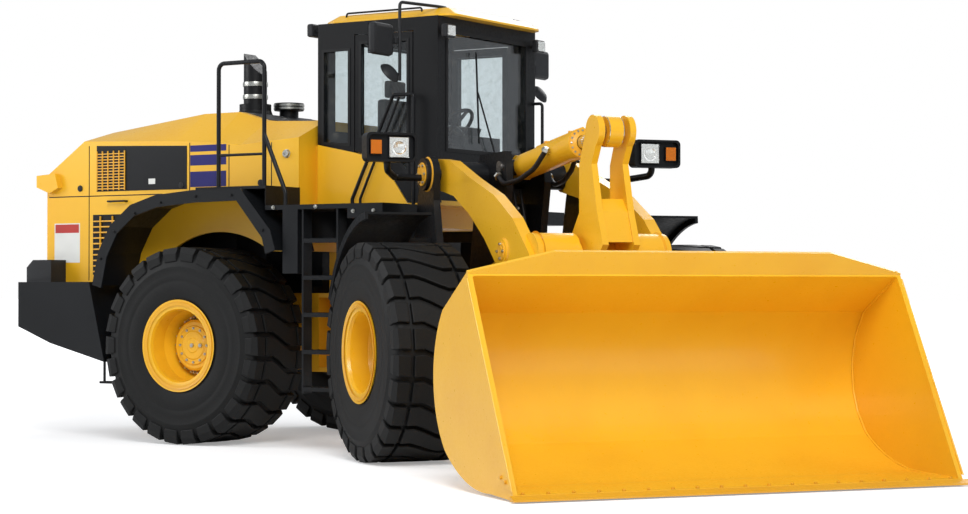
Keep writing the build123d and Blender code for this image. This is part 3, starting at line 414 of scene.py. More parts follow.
def push(name, points, by, broken=0.0):
    """Plate of this outline, pushed by a vector, its edges broken by a small bevel."""
    piece = trace(name, points)
    bpy.ops.mesh.extrude_region_move(TRANSFORM_OT_translate={"value": Vector(by)})
    bpy.ops.mesh.select_all(action="SELECT")
    bpy.ops.mesh.normals_make_consistent(inside=False)
    if broken:
        bpy.ops.mesh.select_mode(type="EDGE")
        bpy.ops.mesh.select_all(action="SELECT")
        bpy.ops.mesh.bevel(offset=broken, segments=2, clamp_overlap=True)
    bpy.ops.object.mode_set(mode="OBJECT")
    return piece


def lathe(name, section, steps=40, smooth=35):
    """Turned piece round +Z: section gives (radius, height) from one end to the other."""
    piece = trace(name, [(radius, 0, height) for radius, height in section], closed=False)
    bpy.ops.mesh.spin(steps=steps, angle=2 * math.pi, center=(0, 0, 0), axis=(0, 0, 1))
    bpy.ops.mesh.select_all(action="SELECT")
    bpy.ops.mesh.remove_doubles(threshold=0.00002)
    bpy.ops.mesh.normals_make_consistent(inside=False)
    bpy.ops.object.mode_set(mode="OBJECT")
    if smooth:
        bpy.ops.object.shade_smooth_by_angle(angle=math.radians(smooth))
    return piece


def ring_plate(name, points, width, by):
    """Frame of this outline: its face is inset, the middle taken out, and the rest pushed."""
    piece = trace(name, points)
    bpy.ops.mesh.select_mode(type="FACE")
    bpy.ops.mesh.inset(thickness=width, depth=0)
    bpy.ops.mesh.delete(type="FACE")
    bpy.ops.mesh.select_all(action="SELECT")
    bpy.ops.mesh.extrude_region_move(TRANSFORM_OT_translate={"value": Vector(by)})
    bpy.ops.mesh.select_all(action="SELECT")
    bpy.ops.mesh.normals_make_consistent(inside=False)
    bpy.ops.object.mode_set(mode="OBJECT")
    return piece


def pipe(name, points, radius):
    """Bent tube along a line of points, its bends rounded by a bevel before it is skinned."""
    line = trace(name, points, closed=False)
    bpy.ops.mesh.select_all(action="SELECT")
    bpy.ops.mesh.bevel(offset=radius * 2.5, segments=5, affect="VERTICES")
    bpy.ops.object.mode_set(mode="OBJECT")
    bpy.ops.object.convert(target="CURVE")
    line = bpy.context.object
    line.data.bevel_depth = radius
    line.data.bevel_resolution = 3
    line.data.use_fill_caps = True
    bpy.ops.object.convert(target="MESH")
    line = bpy.context.object
    bpy.ops.object.shade_smooth_by_angle(angle=math.radians(50))
    return line


def box_piece(name, corner, opposite, broken=0.0):
    """Box between two opposite corners, named in any order, its edges broken."""
    x, y, z = (sorted(pair) for pair in zip(corner, opposite))
    floor = [(x[0], y[0], z[0]), (x[1], y[0], z[0]), (x[1], y[1], z[0]), (x[0], y[1], z[0])]
    return push(name, floor, (0, 0, z[1] - z[0]), broken)


def oblong(low, high):
    """Outline of an upright oblong that faces along X or Y, between two corners."""
    (x0, y0, z0), (x1, y1, z1) = low, high
    return [(x0, y0, z0), (x1, y1, z0), (x1, y1, z1), (x0, y0, z1)]


def facing(at, way, roll=0.0):
    """Where a piece drawn round +Z stands: at a point, pointing this way."""
    turn = Vector(way).to_track_quat("Z", "Y").to_matrix().to_4x4()
    return Matrix.Translation(at) @ turn @ Matrix.Rotation(roll, 4, "Z")


def gather(name, pieces):
    """Join pieces into one mesh."""
    fresh()
    for piece in pieces:
        piece.select_set(True)
    bpy.context.view_layer.objects.active = pieces[0]
    if len(pieces) > 1:
        bpy.ops.object.join()
    pieces[0].name = pieces[0].data.name = name
    return pieces[0]


def repeat(name, model, places, keep=False):
    """Copies of a model at each place, each with its own mesh, joined into one piece."""
    copies = []
    for place in places:
        copy = model.copy()
        copy.data = model.data.copy()
        bpy.context.collection.objects.link(copy)
        copy.data.transform(place)
        copies.append(copy)
    if not keep:
        bpy.data.objects.remove(model)
    return gather(name, copies)


def fitted(piece, body, material):
    """Finish a piece, put its place in its mesh, and seat it on its body."""
    bpy.context.view_layer.update()
    wear(piece, material)
    turn = Matrix.Identity(4) if body in REAR_HALF else TO_FRONT
    piece.data.transform(turn @ piece.matrix_world)
    piece.matrix_world = Matrix.Identity(4)
    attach(piece, body)
    print(piece.name, "on", body + ":", len(piece.data.polygons), "faces")
    return piece


def mounted(name, parts, body, material):
    """Join parts into one piece and fit it."""
    return fitted(gather(name, parts), body, material)


# %% Bolt models


def hex_bolt(flats, height):
    """Flanged hexagon bolt head: a washer disc under six chamfered flats."""
    half, thin = flats / 2, height * 0.2
    fresh()
    bpy.ops.mesh.primitive_cylinder_add(
        vertices=6, radius=half / math.cos(math.pi / 6), depth=height
    )
    head = bpy.context.object
    bpy.ops.object.mode_set(mode="EDIT")
    bpy.ops.mesh.select_all(action="SELECT")
    bpy.ops.transform.translate(value=(0, 0, height / 2 + thin))
    bpy.ops.mesh.select_mode(type="EDGE")
    bpy.ops.mesh.bevel(offset=height * 0.12, segments=1)
    bpy.ops.object.mode_set(mode="OBJECT")
    rim = half * 1.45
    washer = lathe("washer", [(0, 0), (rim, 0), (rim, thin), (0, height * 0.24)], 18)
    return gather("hex_bolt", [head, washer])


def bolts(name, body, flats, places, finish=ZINC):
    """A set of bolts: each place is (point, way it points)."""
    spots = [facing(at, way, 0.35 * i) for i, (at, way) in enumerate(places)]
    return fitted(repeat(name, hex_bolt(flats, flats * 0.55), spots), body, finish)


def around(count, radius):
    """Evenly spaced points on a circle: (across, up) of each."""
    turns = [2 * math.pi * i / count for i in range(count)]
    return [(radius * math.cos(turn), radius * math.sin(turn)) for turn in turns]

# %% [markdown]
# ## Tyres
# The machine stands on low-profile earthmover tyres. The casing is a half section turned
# about the axle, with the moulded rings of the sidewall in it. The tread is made of blocks
# that are about 40 mm deep: a short block on each shoulder and one long, S-shaped block
# across the middle, 26 times round, with the two shoulders staggered. One pitch is modelled
# at the crown of the tyre, its edges broken, and then repeated round the axle.

# %% Tyre casing
PITCHES = 26  # tread pitches round a tyre
# (radius, distance from the tyre's middle) from the bead, over the sidewall, to the crown
CASING = [
    (0.331, -0.329), (0.352, -0.349), (0.366, -0.351), (0.373, -0.346), (0.384, -0.346),
    (0.392, -0.352), (0.440, -0.364), (0.500, -0.371), (0.560, -0.374), (0.572, -0.371),
    (0.580, -0.374), (0.620, -0.374), (0.680, -0.368), (0.688, -0.371), (0.700, -0.371),
    (0.708, -0.365), (0.760, -0.352), (0.806, -0.338), (0.822, -0.318), (0.828, -0.280),
]
section = CASING + [(0.829, -0.120), (0.829, 0.120)] + [(r, -h) for r, h in CASING[::-1]]
casing = lathe("tyre_casing", section, steps=96, smooth=40)

# %% Tread blocks
# Centre line of the long block: (along the axle, round the tread)
SPINE = [
    (0.212, -0.060), (0.130, -0.066), (0.052, -0.030),
    (-0.052, 0.030), (-0.130, 0.066), (-0.212, 0.060),
]
HALF_BLOCK = 0.083
SHOULDER = [
    (0.236, -0.146), (0.300, -0.150), (0.366, -0.150),
    (0.366, 0.012), (0.300, 0.016), (0.236, 0.020),
]


def tread_block(name, outline, low, high, broken):
    """Block on the crown: its outline laid on the radius low, then drawn out to high."""
    curved = [(low * math.cos(arc / high), axle, low * math.sin(arc / high)) for axle, arc in outline]
    block = trace(name, curved)
    bpy.ops.mesh.extrude_region_move(TRANSFORM_OT_translate={"value": (0, 0, 0)})
    grow = high / low
    bpy.ops.transform.resize(value=(grow, 1, grow), center_override=(0, 0, 0))
    bpy.ops.mesh.select_all(action="SELECT")
    bpy.ops.mesh.normals_make_consistent(inside=False)
    bpy.ops.mesh.select_mode(type="EDGE")
    bpy.ops.mesh.bevel(offset=broken, segments=2, clamp_overlap=True)
    bpy.ops.object.mode_set(mode="OBJECT")
    return block


edge = [(axle, arc + HALF_BLOCK) for axle, arc in SPINE]
edge += [(axle, arc - HALF_BLOCK) for axle, arc in SPINE[::-1]]
middle = tread_block("tread_middle", edge, 0.80, 0.8675, 0.007)
right = tread_block("tread_right", SHOULDER, 0.742, 0.8665, 0.009)
# The shoulder falls away to the sidewall, so the block's outer corner is cut off
bpy.ops.object.mode_set(mode="EDIT")
bpy.ops.mesh.select_all(action="SELECT")
bpy.ops.mesh.bisect(
    plane_co=(0.850, 0.345, 0), plane_no=(0.45, 0.9, 0), use_fill=True, clear_outer=True
)
bpy.ops.object.mode_set(mode="OBJECT")
left = repeat("tread_left", right, [Matrix.Rotation(math.pi, 4, "X")], keep=True)
pitch = gather("tread_pitch", [middle, right, left])
turns = [Matrix.Rotation(2 * math.pi * i / PITCHES, 4, "Y") for i in range(PITCHES)]
tread = repeat("tyre_tread", pitch, turns)
casing.data.transform(Matrix.Rotation(-math.pi / 2, 4, "X"))
tyre_model = gather("tyre_model", [casing, tread])
print("tyre faces", len(tyre_model.data.polygons))

# %% [markdown]
# ## Wheels
# The rim and its planetary hub are turned pieces of the engineering model. What makes them
# read as a wheel is the hardware: a ring of twenty studs and nuts that hold the rim, a hub
# cover with its own ring of bolts, two oil plugs, and the lock ring inside the outer flange.

# %% Hub hardware
lock_ring = lathe(
    "lock_ring",
    [(0.352, 0.360), (0.372, 0.364), (0.384, 0.3745), (0.374, 0.371), (0.352, 0.370)],
    72,
)
hub_cover = lathe(
    "hub_cover",
    [(0.0, 0.172), (0.060, 0.172), (0.068, 0.166), (0.120, 0.166), (0.130, 0.158),
     (0.168, 0.156), (0.174, 0.150), (0.174, 0.144)],
    56,
)
stud_seat = lathe(
    "stud_seat", [(0.236, 0.046), (0.252, 0.052), (0.262, 0.052), (0.276, 0.043)], 64
)
plug = lathe("plug", [(0.0, 0.188), (0.018, 0.188), (0.020, 0.185), (0.020, 0.172)], 6, smooth=0)
oil_plug = repeat("oil_plug", plug, [Matrix.Identity(4), Matrix.Translation((0.09, 0, -0.006))])
stud = lathe("stud", [(0.0, 0.052), (0.009, 0.052), (0.011, 0.049), (0.011, 0.0)], 10)
nut = gather("wheel_nut", [hex_bolt(0.030, 0.024), stud])
wheel_nuts = repeat("wheel_nuts", nut, [Matrix.Translation((*at, 0.050)) for at in around(20, 0.250)])
spots = [Matrix.Translation((*at, 0.157)) for at in around(12, 0.150)]
cover_bolts = repeat("cover_bolts", hex_bolt(0.017, 0.010), spots)

# %% Wheels in place
HALF_WHEELBASE = 1.890  # from the hitch to an axle
HALF_TREAD = 1.200  # from the middle of the machine to the middle of a tyre
AXLE_HEIGHT = 0.870
# end and side, sign of X, sign of Y
WHEELS = (
    ("rear_right", -1, -1), ("rear_left", -1, 1), ("front_right", 1, -1), ("front_left", 1, 1)
)
HARDWARE = (
    (lock_ring, YELLOW_DEEP), (hub_cover, YELLOW), (stud_seat, YELLOW_DEEP),
    (wheel_nuts, ZINC), (cover_bolts, ZINC), (oil_plug, ZINC),
)
names = [model.name for model, _ in HARDWARE]
for wheel, end, hand in WHEELS:
    body = "wheel_" + wheel
    centre = Vector((end * HALF_WHEELBASE, hand * HALF_TREAD, AXLE_HEIGHT))
    # The front and rear tyres stopped at different turns
    stopped = Matrix.Translation(centre) @ Matrix.Rotation(end * 0.1701, 4, "Y")
    tyre = fitted(repeat("tread_" + wheel, tyre_model, [stopped], keep=True), body, TYRE)
    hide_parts("tyre_" + wheel)
    axle = facing(centre, (0, hand, 0))
    for name, (model, finish) in zip(names, HARDWARE):
        fitted(repeat(name + "_" + wheel, model, [axle], keep=True), body, finish)
for model in [tyre_model] + [model for model, _ in HARDWARE]:
    bpy.data.objects.remove(model)

# %% [markdown]
# ## Hood and rear body
# The hood is a pressed and welded steel cover. Its sides carry a dark band with a louvred
# panel in it, three stripes, the shut lines between its panels, quarter-turn latches
# and a lower grille. They are thin sheets, so each is traced on the side of the hood and
# pushed out by a few millimetres. The same list serves both sides of the machine.

# %% Panels and stripes
SKIN = 1.000  # half width of the hood
SUNK = -0.001  # plates start just inside the skin, so that no gap shows


def panel(x0, x1, z0, z1):
    """Side outline of an oblong panel."""
    return [(x0, z0), (x1, z0), (x1, z1), (x0, z1)]


def side_plates(name, outline, thick, broken, finish):
    """The same thin plate on both sides of the hood, from its side outline (x, z)."""
    for side, hand in SIDES:
        points = [(x, hand * (SKIN + SUNK), z) for x, z in outline]
        plate = push(name + "_" + side, points, (0, hand * thick, 0), broken)
        fitted(plate, "rear_body", finish)


BAND = [(-3.355, 2.275), (-2.267, 2.275), (-2.267, 2.668), (-3.355, 2.703)]
side_plates("hood_band", BAND, 0.005, 0.0015, SLATE)
STRIPES = ((2.290, 2.430), (2.485, 2.580), (2.610, 2.668))
for i, (low, high) in enumerate(STRIPES):
    side_plates("hood_stripe_" + str(i + 1), panel(-2.228, -1.812, low, high), 0.002, 0.0006, NAVY)

# %% Shut lines


def strips(name, lines, width, thick, finish, out=SUNK):
    """Narrow strips along lines (x, z, x, z) of a side, on both sides of the hood."""
    for side, hand in SIDES:
        made = []
        for x0, z0, x1, z1 in lines:
            run = Vector((x1 - x0, 0, z1 - z0)).normalized() * width / 2
            across = Vector((-run.z, 0, run.x))
            start, end = Vector((x0, 0, z0)), Vector((x1, 0, z1))
            ring = (start - run + across, end + run + across, end + run - across, start - run - across)
            points = [(p.x, hand * (SKIN + out), p.z) for p in ring]
            made.append(push("strip", points, (0, hand * thick, 0), thick * 0.3))
        mounted(name + "_" + side, made, "rear_body", finish)


SEAMS = (
    (-3.450, 1.450, -3.450, 2.700),
    (-2.235, 2.255, -2.235, 2.690),
    (-1.780, 2.255, -1.780, 2.655),
    (-1.300, 2.270, -1.300, 2.660),
    (-3.950, 2.235, -2.560, 2.235),
)
strips("hood_seams", SEAMS, 0.009, 0.003, SEAL)

# %% Louvred panel in the band
for side, hand in SIDES:
    # The black sheet behind the slats is painted shade: it stands for the dark inside of the hood seen
    # through the louvre's openings.
    sheet = [(-3.352, 2.281), (-3.000, 2.281), (-3.000, 2.660), (-3.352, 2.672)]
    points = [(x, hand * 1.0035, z) for x, z in sheet]
    fitted(push("hood_grille_back_" + side, points, (0, hand * 0.003, 0)), "rear_body", BLACK)
    slats = []
    for i in range(13):
        z = 2.293 + 0.027 * i
        # Section of a slat: (out of the skin, up)
        blade = ((0.004, 0), (0.014, 0.003), (0.013, 0.009), (0.004, 0.012))
        slat = [(-3.345, hand * (SKIN + out), z + up) for out, up in blade]
        slats.append(push("slat", slat, (0.338, 0, 0)))
    for i in range(6):
        x = -3.350 + 0.068 * i
        ends = (x, hand * 1.004, 2.284), (x + 0.010, hand * 1.016, 2.650)
        slats.append(box_piece("stay", *ends, 0.001))
    mounted("hood_louvre_" + side, slats, "rear_body", YELLOW_DEEP)

# %% Lower cooling grille behind the wheel
LOWER = [
    (-3.400, 1.500), (-2.960, 1.500), (-2.900, 1.640), (-2.820, 1.840),
    (-2.700, 2.020), (-2.640, 2.060), (-3.400, 2.060),
]
# The black plate behind the bars is painted shade: it stands for the dark inside of the grille's
# openings.
side_plates("lower_grille_painted_shade", LOWER, 0.004, 0.001, BLACK)
heights = [1.530 + 0.052 * i for i in range(10)]
bars = [(-3.380, z, -2.985 + 0.022 * i, z) for i, z in enumerate(heights)]
strips("lower_grille_bars", bars, 0.014, 0.016, YELLOW_DEEP, out=0.002)
stays = [(x, 1.520, x, 2.040) for x in (-3.300, -3.150)]
strips("lower_grille_stays", stays, 0.012, 0.019, YELLOW_DEEP, out=0.002)

# %% [markdown]
# Small hardware on the hood: the latches are plastic cups with a turning key, the handle is
# a bent rod, the port is a capped filler, and the sign and sticker are blank foil.

# %% Latches, port and blank signs
latch = lathe(
    "latch",
    [(0, 0.012), (0.012, 0.012), (0.014, 0.009), (0.026, 0.009), (0.030, 0.004), (0.030, 0)],
    28,
)
for side, hand in SIDES:
    spots = [facing((x, hand * 1.003, 2.310), (0, hand, 0)) for x in (-3.560, -2.330, -1.420)]
    fitted(repeat("hood_latches_" + side, latch, spots, keep=True), "rear_body", PLASTIC)
bpy.data.objects.remove(latch)
port = lathe(
    "fuel_port",
    [(0, 0.018), (0.014, 0.018), (0.018, 0.026), (0.030, 0.026), (0.033, 0.022), (0.033, 0.006),
     (0.038, 0.004), (0.038, 0)],
    44,
)
port.data.transform(facing((-1.130, -SKIN, 2.560), (0, -1, 0)))
fitted(port, "rear_body", ZINC)
side_plates("sign_blank", panel(-3.885, -3.565, 1.615, 1.985), 0.002, 0.0005, WHITE)
side_plates("sign_head", panel(-3.873, -3.577, 1.895, 1.975), 0.0035, 0.0005, SIGNAL_RED)
side_plates("small_sticker", panel(-2.720, -2.640, 2.330, 2.380), 0.0065, 0.0005, WHITE)

# %% Handle of the side panel
handle = trace(
    "hood_handle",
    [(-3.180, -SKIN, 2.180), (-3.180, -1.045, 2.180), (-2.980, -1.045, 2.180), (-2.980, -SKIN, 2.180)],
    closed=False,
)
bpy.ops.object.mode_set(mode="OBJECT")
bpy.ops.object.convert(target="CURVE")
handle.data.bevel_depth = 0.009
handle.data.bevel_resolution = 4
bpy.ops.object.convert(target="MESH")
handle = bpy.context.object
bpy.ops.object.shade_smooth_by_angle(angle=math.radians(50))
fitted(handle, "rear_body", BLACK)

# %% [markdown]
# The dark spine on top of the hood is a rubber-edged service panel. The stack stands in a
# rain collar, and clamping bands hold the stack and the intake together.

# %% Hood top
RIDGE = [(-3.480, 2.868), (-2.400, 2.990), (-1.990, 2.991), (-1.700, 2.908)]
STACK, INTAKE = (-2.270, 0), (-2.070, 0.260)
lids = []
for (x0, z0), (x1, z1) in zip(RIDGE, RIDGE[1:]):
    lid = [(x0, -0.50, z0), (x1, -0.50, z1), (x1, 0.50, z1), (x0, 0.50, z0)]
    lids.append(push("top_panel", lid, (0, 0, 0.004), 0.001))
mounted("hood_top_panel", lids, "rear_body", SLATE)
collar = lathe(
    "stack_collar", [(0.152, 0.0), (0.178, 0.0), (0.180, 0.012), (0.162, 0.030), (0.152, 0.060)], 48
)
collar.data.transform(Matrix.Translation((*STACK, 2.989)))
fitted(collar, "rear_body", BLACK)
band = lathe("band", [(0.111, -0.02), (0.117, -0.02), (0.119, 0.0), (0.117, 0.02), (0.111, 0.02)], 48)
spots = [Matrix.Translation((*STACK, z)) for z in (3.180, 3.300)]
fitted(repeat("stack_bands", band, spots), "rear_body", ZINC)
band = lathe("band", [(0.141, -0.012), (0.146, -0.010), (0.146, 0.010), (0.141, 0.012)], 48)
spots = [Matrix.Translation((*INTAKE, z)) for z in (3.080, 3.110)]
fitted(repeat("intake_bands", band, spots), "rear_body", ZINC)

# %% [markdown]
# ## Rear lamps, tow hitch and counterweight hardware
# Each lamp box holds a round red stop lamp and an amber indicator, each in a bright bezel.
# The work lamps sit in the corners of the hood: a clear lens over a metallised back.

# %% Rear lamps
REAR_FACE = -4.050  # face of the lamp boxes
for side, hand in SIDES:
    sockets = {}
    for name, y, finish in (("stop_lens", 1.056, LENS_RED), ("turn_lens", 1.146, LENS_AMBER)):
        sockets[name] = facing((REAR_FACE, hand * y, 1.535), (-1, 0, 0))
        section = [(0, 0.016), (0.020, 0.015), (0.034, 0.010), (0.037, 0.0)]
        lens = lathe(name + "_" + side, section, 36)
        lens.data.transform(sockets[name])
        fitted(lens, "rear_body", finish)
    bezel = lathe(
        "bezel", [(0.037, 0), (0.044, 0.0), (0.044, 0.010), (0.038, 0.012), (0.036, 0.004)], 36
    )
    fitted(repeat("lamp_bezels_" + side, bezel, sockets.values()), "rear_body", ZINC)
    inner, outer = hand * 0.790, hand * 1.030
    face = oblong((-4.062, inner, 2.345), (-4.062, outer, 2.428))
    fitted(push("rear_work_lens_" + side, face, (-0.004, 0, 0), 0.0015), "rear_body", LENS_CLEAR)
    face = oblong((-4.0615, inner, 2.345), (-4.0615, outer, 2.428))
    fitted(push("rear_work_mirror_" + side, face, (0.0005, 0, 0)), "rear_body", REFLECTOR)

# %% Tow pin and bolts on the counterweight
spots = [((-4.020, hand * y, 1.4318), (0, 0, 1)) for hand in (-1, 1) for y in (0.42, 0.62)]
bolts("counterweight_bolts", "rear_body", 0.046, spots)
pin = lathe(
    "tow_pin",
    [(0, 0.095), (0.010, 0.095), (0.016, 0.088), (0.016, 0.070), (0.034, 0.060), (0.034, 0.0),
     (0.024, -0.002), (0.024, -0.30), (0.0, -0.31)],
    32,
)
pin.data.transform(Matrix.Translation((-4.022, 0, 1.432)))
fitted(pin, "rear_body", STEEL)

# %% [markdown]
# ## Cab
# Every pane sits in a moulded rubber seal, which is a frame of the pane's outline. On the
# outside there are a wiper, a door handle, work lamps under the roof's edge and the mirrors'
# glass. Inside, what the windows show is a sprung seat with its cushions, a dash with a
# screen, a lever and pedals.

# %% Window seals
CAB_SIDE, CAB_FRONT, CAB_REAR = 0.800, 0.330, -0.940  # outer faces of the cab's walls
SEAL_RISE = 0.005
windshield = oblong((CAB_FRONT, -0.672, 2.548), (CAB_FRONT, 0.672, 3.597))
fitted(ring_plate("windshield_seal", windshield, 0.030, (0.006, 0, 0)), "rear_body", SEAL)
rear_window = oblong((CAB_REAR, -0.632, 2.748), (CAB_REAR, 0.632, 3.597))
fitted(ring_plate("rear_window_seal", rear_window, 0.028, (-0.006, 0, 0)), "rear_body", SEAL)
QUARTER = [(-0.897, 2.640), (-0.588, 2.618), (-0.588, 3.477), (-0.897, 3.477)]
DOOR_PANE = [(-0.494, 3.529), (0.034, 3.529), (0.034, 2.310), (-0.190, 2.624), (-0.494, 2.688)]
for side, hand in SIDES:
    leaf = "door_leaf" if side == "left" else "rear_body"
    for name, pane_edge, body in (("quarter", QUARTER, "rear_body"), ("door", DOOR_PANE, leaf)):
        outline = [(x, hand * CAB_SIDE, z) for x, z in pane_edge]
        rise = (0, hand * SEAL_RISE, 0)
        fitted(ring_plate(name + "_seal_" + side, outline, 0.024, rise), body, SEAL)

# %% Wiper
boss = lathe(
    "wiper_boss", [(0, 0.030), (0.016, 0.030), (0.022, 0.024), (0.026, 0.010), (0.030, 0)], 24
)
boss.data.transform(facing((CAB_FRONT, 0.120, 2.505), (1, 0, 0)))
arm = push(
    "wiper_arm",
    [(0.347, 0.108, 2.505), (0.347, 0.132, 2.505), (0.345, -0.180, 3.090), (0.345, -0.196, 3.080)],
    (0.007, 0, 0),
    0.002,
)
blade = push(
    "wiper_blade",
    [(0.338, -0.172, 2.640), (0.338, -0.156, 2.640), (0.338, -0.206, 3.440), (0.338, -0.222, 3.440)],
    (0.012, 0, 0),
    0.002,
)
mounted("windshield_wiper", [boss, arm, blade], "rear_body", BLACK)

# %% Door handle and latch
face = oblong((-0.005, CAB_SIDE, 2.640), (0.062, CAB_SIDE, 2.800))
plate = push("latch_plate", face, (0, 0.006, 0), 0.002)
grip = pipe(
    "grip",
    [(0.028, CAB_SIDE, 2.665), (0.028, 0.835, 2.665), (0.028, 0.835, 2.775), (0.028, CAB_SIDE, 2.775)],
    0.009,
)
mounted("door_handle", [plate, grip], "door_leaf", PLASTIC)

# %% Work lamps at the cab's corners
LAMP_DEEP, LAMP_TALL, LAMP_HALF = 0.060, 0.115, 0.072
LENS_EDGE = 0.014  # from the case's rim to the lens
cases, lenses, backs = [], [], []
for x, way, low in ((0.375, 1, 3.515), (-0.990, -1, 3.600)):
    for hand in (-1, 1):
        y = hand * 0.745
        case = (x, y - LAMP_HALF, low), (x + way * LAMP_DEEP, y + LAMP_HALF, low + LAMP_TALL)
        cases.append(box_piece("case", *case, 0.014))
        stay = (x - way * 0.046, y - 0.012, low + 0.045), (x + way * 0.01, y + 0.012, low + 0.070)
        cases.append(box_piece("stay", *stay, 0.002))
        face, half = x + way * 0.0602, LAMP_HALF - LENS_EDGE
        bottom, top = low + LENS_EDGE, low + LAMP_TALL - LENS_EDGE
        back = oblong((face, y - half, bottom), (face, y + half, top))
        backs.append(push("back", back, (way * 0.0006, 0, 0)))
        lens = [(px + way * 0.001, py, pz) for px, py, pz in back]
        lenses.append(push("lens", lens, (way * 0.006, 0, 0), 0.002))
mounted("cab_lamp_cases", cases, "rear_body", PLASTIC)
mounted("cab_lamp_mirrors", backs, "rear_body", REFLECTOR)
mounted("cab_lamp_lenses", lenses, "rear_body", LENS_CLEAR)

# %% [markdown]
# The mirrors hang from bent tube that starts on the roof. A moulded housing holds the flat
# glass, with a groove round its rim, and a smaller dish below it shows the ground. Both
# shapes are rounded all over, so they replace the plain ones.

# %% Mirrors
parts, panes = [], []
for hand in (-1, 1):
    y, stem = hand * 1.287, hand * 1.097
    parts.append(box_piece("house", (0.042, y - 0.148, 3.334), (0.120, y + 0.148, 3.606), 0.034))
    rim = oblong((0.0435, y - 0.138, 3.344), (0.0435, y + 0.138, 3.596))
    parts.append(ring_plate("rim", rim, 0.010, (-0.0013, 0, 0)))
    parts.append(box_piece("hinge", (0.084, stem, 3.442), (0.138, hand * 1.147, 3.498), 0.008))
    tube = [(0.250, hand * 0.560, 3.799), (0.250, hand * 0.640, 3.799), (0.142, stem, 3.799),
            (0.142, stem, 3.130)]
    parts.append(pipe("arm", tube, 0.0139))
    foot = (0.231, hand * 0.561, 3.7852), (0.269, hand * 0.599, 3.7985)
    parts.append(box_piece("foot", *foot, 0.003))
    dish = lathe(
        "dish",
        [(0, 0.046), (0.040, 0.044), (0.075, 0.030), (0.094, 0.008), (0.099, 0), (0.094, -0.002),
         (0.088, 0.002)],
        48,
    )
    spot = facing((0.122, hand * 1.222, 3.186), (0.80, 0, 0.6))
    dish.data.transform(spot)
    parts.append(dish)
    parts.append(pipe("link", [(0.132, stem, 3.186), (0.132, hand * 1.185, 3.186)], 0.0118))
    glass = oblong((0.0422, y - 0.126, 3.356), (0.0422, y + 0.126, 3.584))
    panes.append(push("glass", glass, (-0.001, 0, 0)))
    bulge = lathe("bulge", [(0, -0.006), (0.060, -0.003), (0.089, 0.0035)], 40)
    bulge.data.transform(spot)
    panes.append(bulge)
mirrors = mounted("mirror_housings", parts, "rear_body", PLASTIC)
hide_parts("mirrors")
mounted("mirror_glass", panes, "rear_body", REFLECTOR)

# %% Rails along the roof
rails = []
for y in (-0.700, 0.700):
    line = [(-0.700, y, 3.700), (-0.700, y, 3.796), (0.100, y, 3.796), (0.100, y, 3.700)]
    rails.append(pipe("rail", line, 0.0085))
mounted("roof_rails", rails, "rear_body", BLACK)

# %% [markdown]
# The seat is a suspension seat: two foam cushions in woven covers, a head restraint, a shell
# and a bellows under it. A cushion starts as a box; its middle is drawn up to a crown, its
# rim is rounded, and a welt runs round it where the covers are sewn together.

# %% Seat cushions
CROWN = 0.10  # how far a cushion's middle swells, as a share of its half thickness


def cushion(name, low, high, front_axis):
    """Crowned pad between two corners: its wide faces swell along one axis."""
    size = [b - a for a, b in zip(low, high)]
    middle = [(a + b) / 2 for a, b in zip(low, high)]
    fresh()
    bpy.ops.mesh.primitive_cube_add(size=1)
    pad = bpy.context.object
    pad.name = pad.data.name = name
    bpy.ops.object.mode_set(mode="EDIT")
    bpy.ops.mesh.select_all(action="SELECT")
    bpy.ops.transform.resize(value=size)
    bpy.ops.mesh.bevel(offset=min(size) * 0.28, segments=4)
    bpy.ops.mesh.select_all(action="SELECT")
    bpy.ops.mesh.subdivide(number_cuts=5, smoothness=0)
    bpy.ops.object.mode_set(mode="OBJECT")
    wide = [i for i in range(3) if i != front_axis]
    for vertex in pad.data.vertices:
        across = [abs(vertex.co[i]) / (size[i] / 2) for i in wide]
        swell = (1 - across[0] ** 2) * (1 - across[1] ** 2)
        vertex.co[front_axis] *= 1 + CROWN * swell
    pad.data.transform(Matrix.Translation(middle))
    bpy.ops.object.shade_smooth_by_angle(angle=math.radians(60))
    return pad


base = cushion("seat_cushion", (-0.635, -0.235, 2.425), (-0.145, 0.235, 2.530), 2)
back = cushion("seat_back", (-0.715, -0.222, 2.560), (-0.612, 0.222, 3.075), 0)
head = cushion("seat_head", (-0.705, -0.125, 3.095), (-0.625, 0.125, 3.250), 0)
for pad in (base, back, head):
    fitted(pad, "rear_body", CLOTH)
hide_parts("seat")

# %% Welts and frame of the seat
round_base = [(-0.150, -0.225), (-0.150, 0.225), (-0.625, 0.225), (-0.625, -0.225), (-0.152, -0.225)]
round_back = [(-0.212, 2.575), (-0.212, 3.060), (0.212, 3.060), (0.212, 2.575)]
welts = [
    pipe("welt", [(x, y, 2.480) for x, y in round_base], 0.006),
    pipe("welt", [(-0.664, y, z) for y, z in round_back], 0.006),
]
mounted("seat_welts", welts, "rear_body", SEAL)
shell = box_piece("seat_shell", (-0.635, -0.225, 2.400), (-0.155, 0.225, 2.426), 0.008)
bellows = lathe(
    "seat_bellows",
    [(0.150, 2.126), (0.175, 2.165), (0.150, 2.205), (0.175, 2.245), (0.150, 2.285),
     (0.175, 2.325), (0.150, 2.365), (0.160, 2.402)],
    4,
    smooth=0,
)
bellows.data.transform(
    Matrix.Translation((-0.400, 0, 0)) @ Matrix.Rotation(math.pi / 4, 4, "Z")
)
rest = box_piece("arm_rest", (-0.560, -0.315, 2.640), (-0.250, -0.250, 2.690), 0.012)
post = box_piece("arm_post", (-0.600, -0.300, 2.440), (-0.560, -0.262, 2.660), 0.008)
stems = [pipe("stem", [(-0.664, y, 3.050), (-0.664, y, 3.120)], 0.006) for y in (-0.06, 0.06)]
mounted("seat_frame", [shell, bellows, rest, post] + stems, "rear_body", PLASTIC)

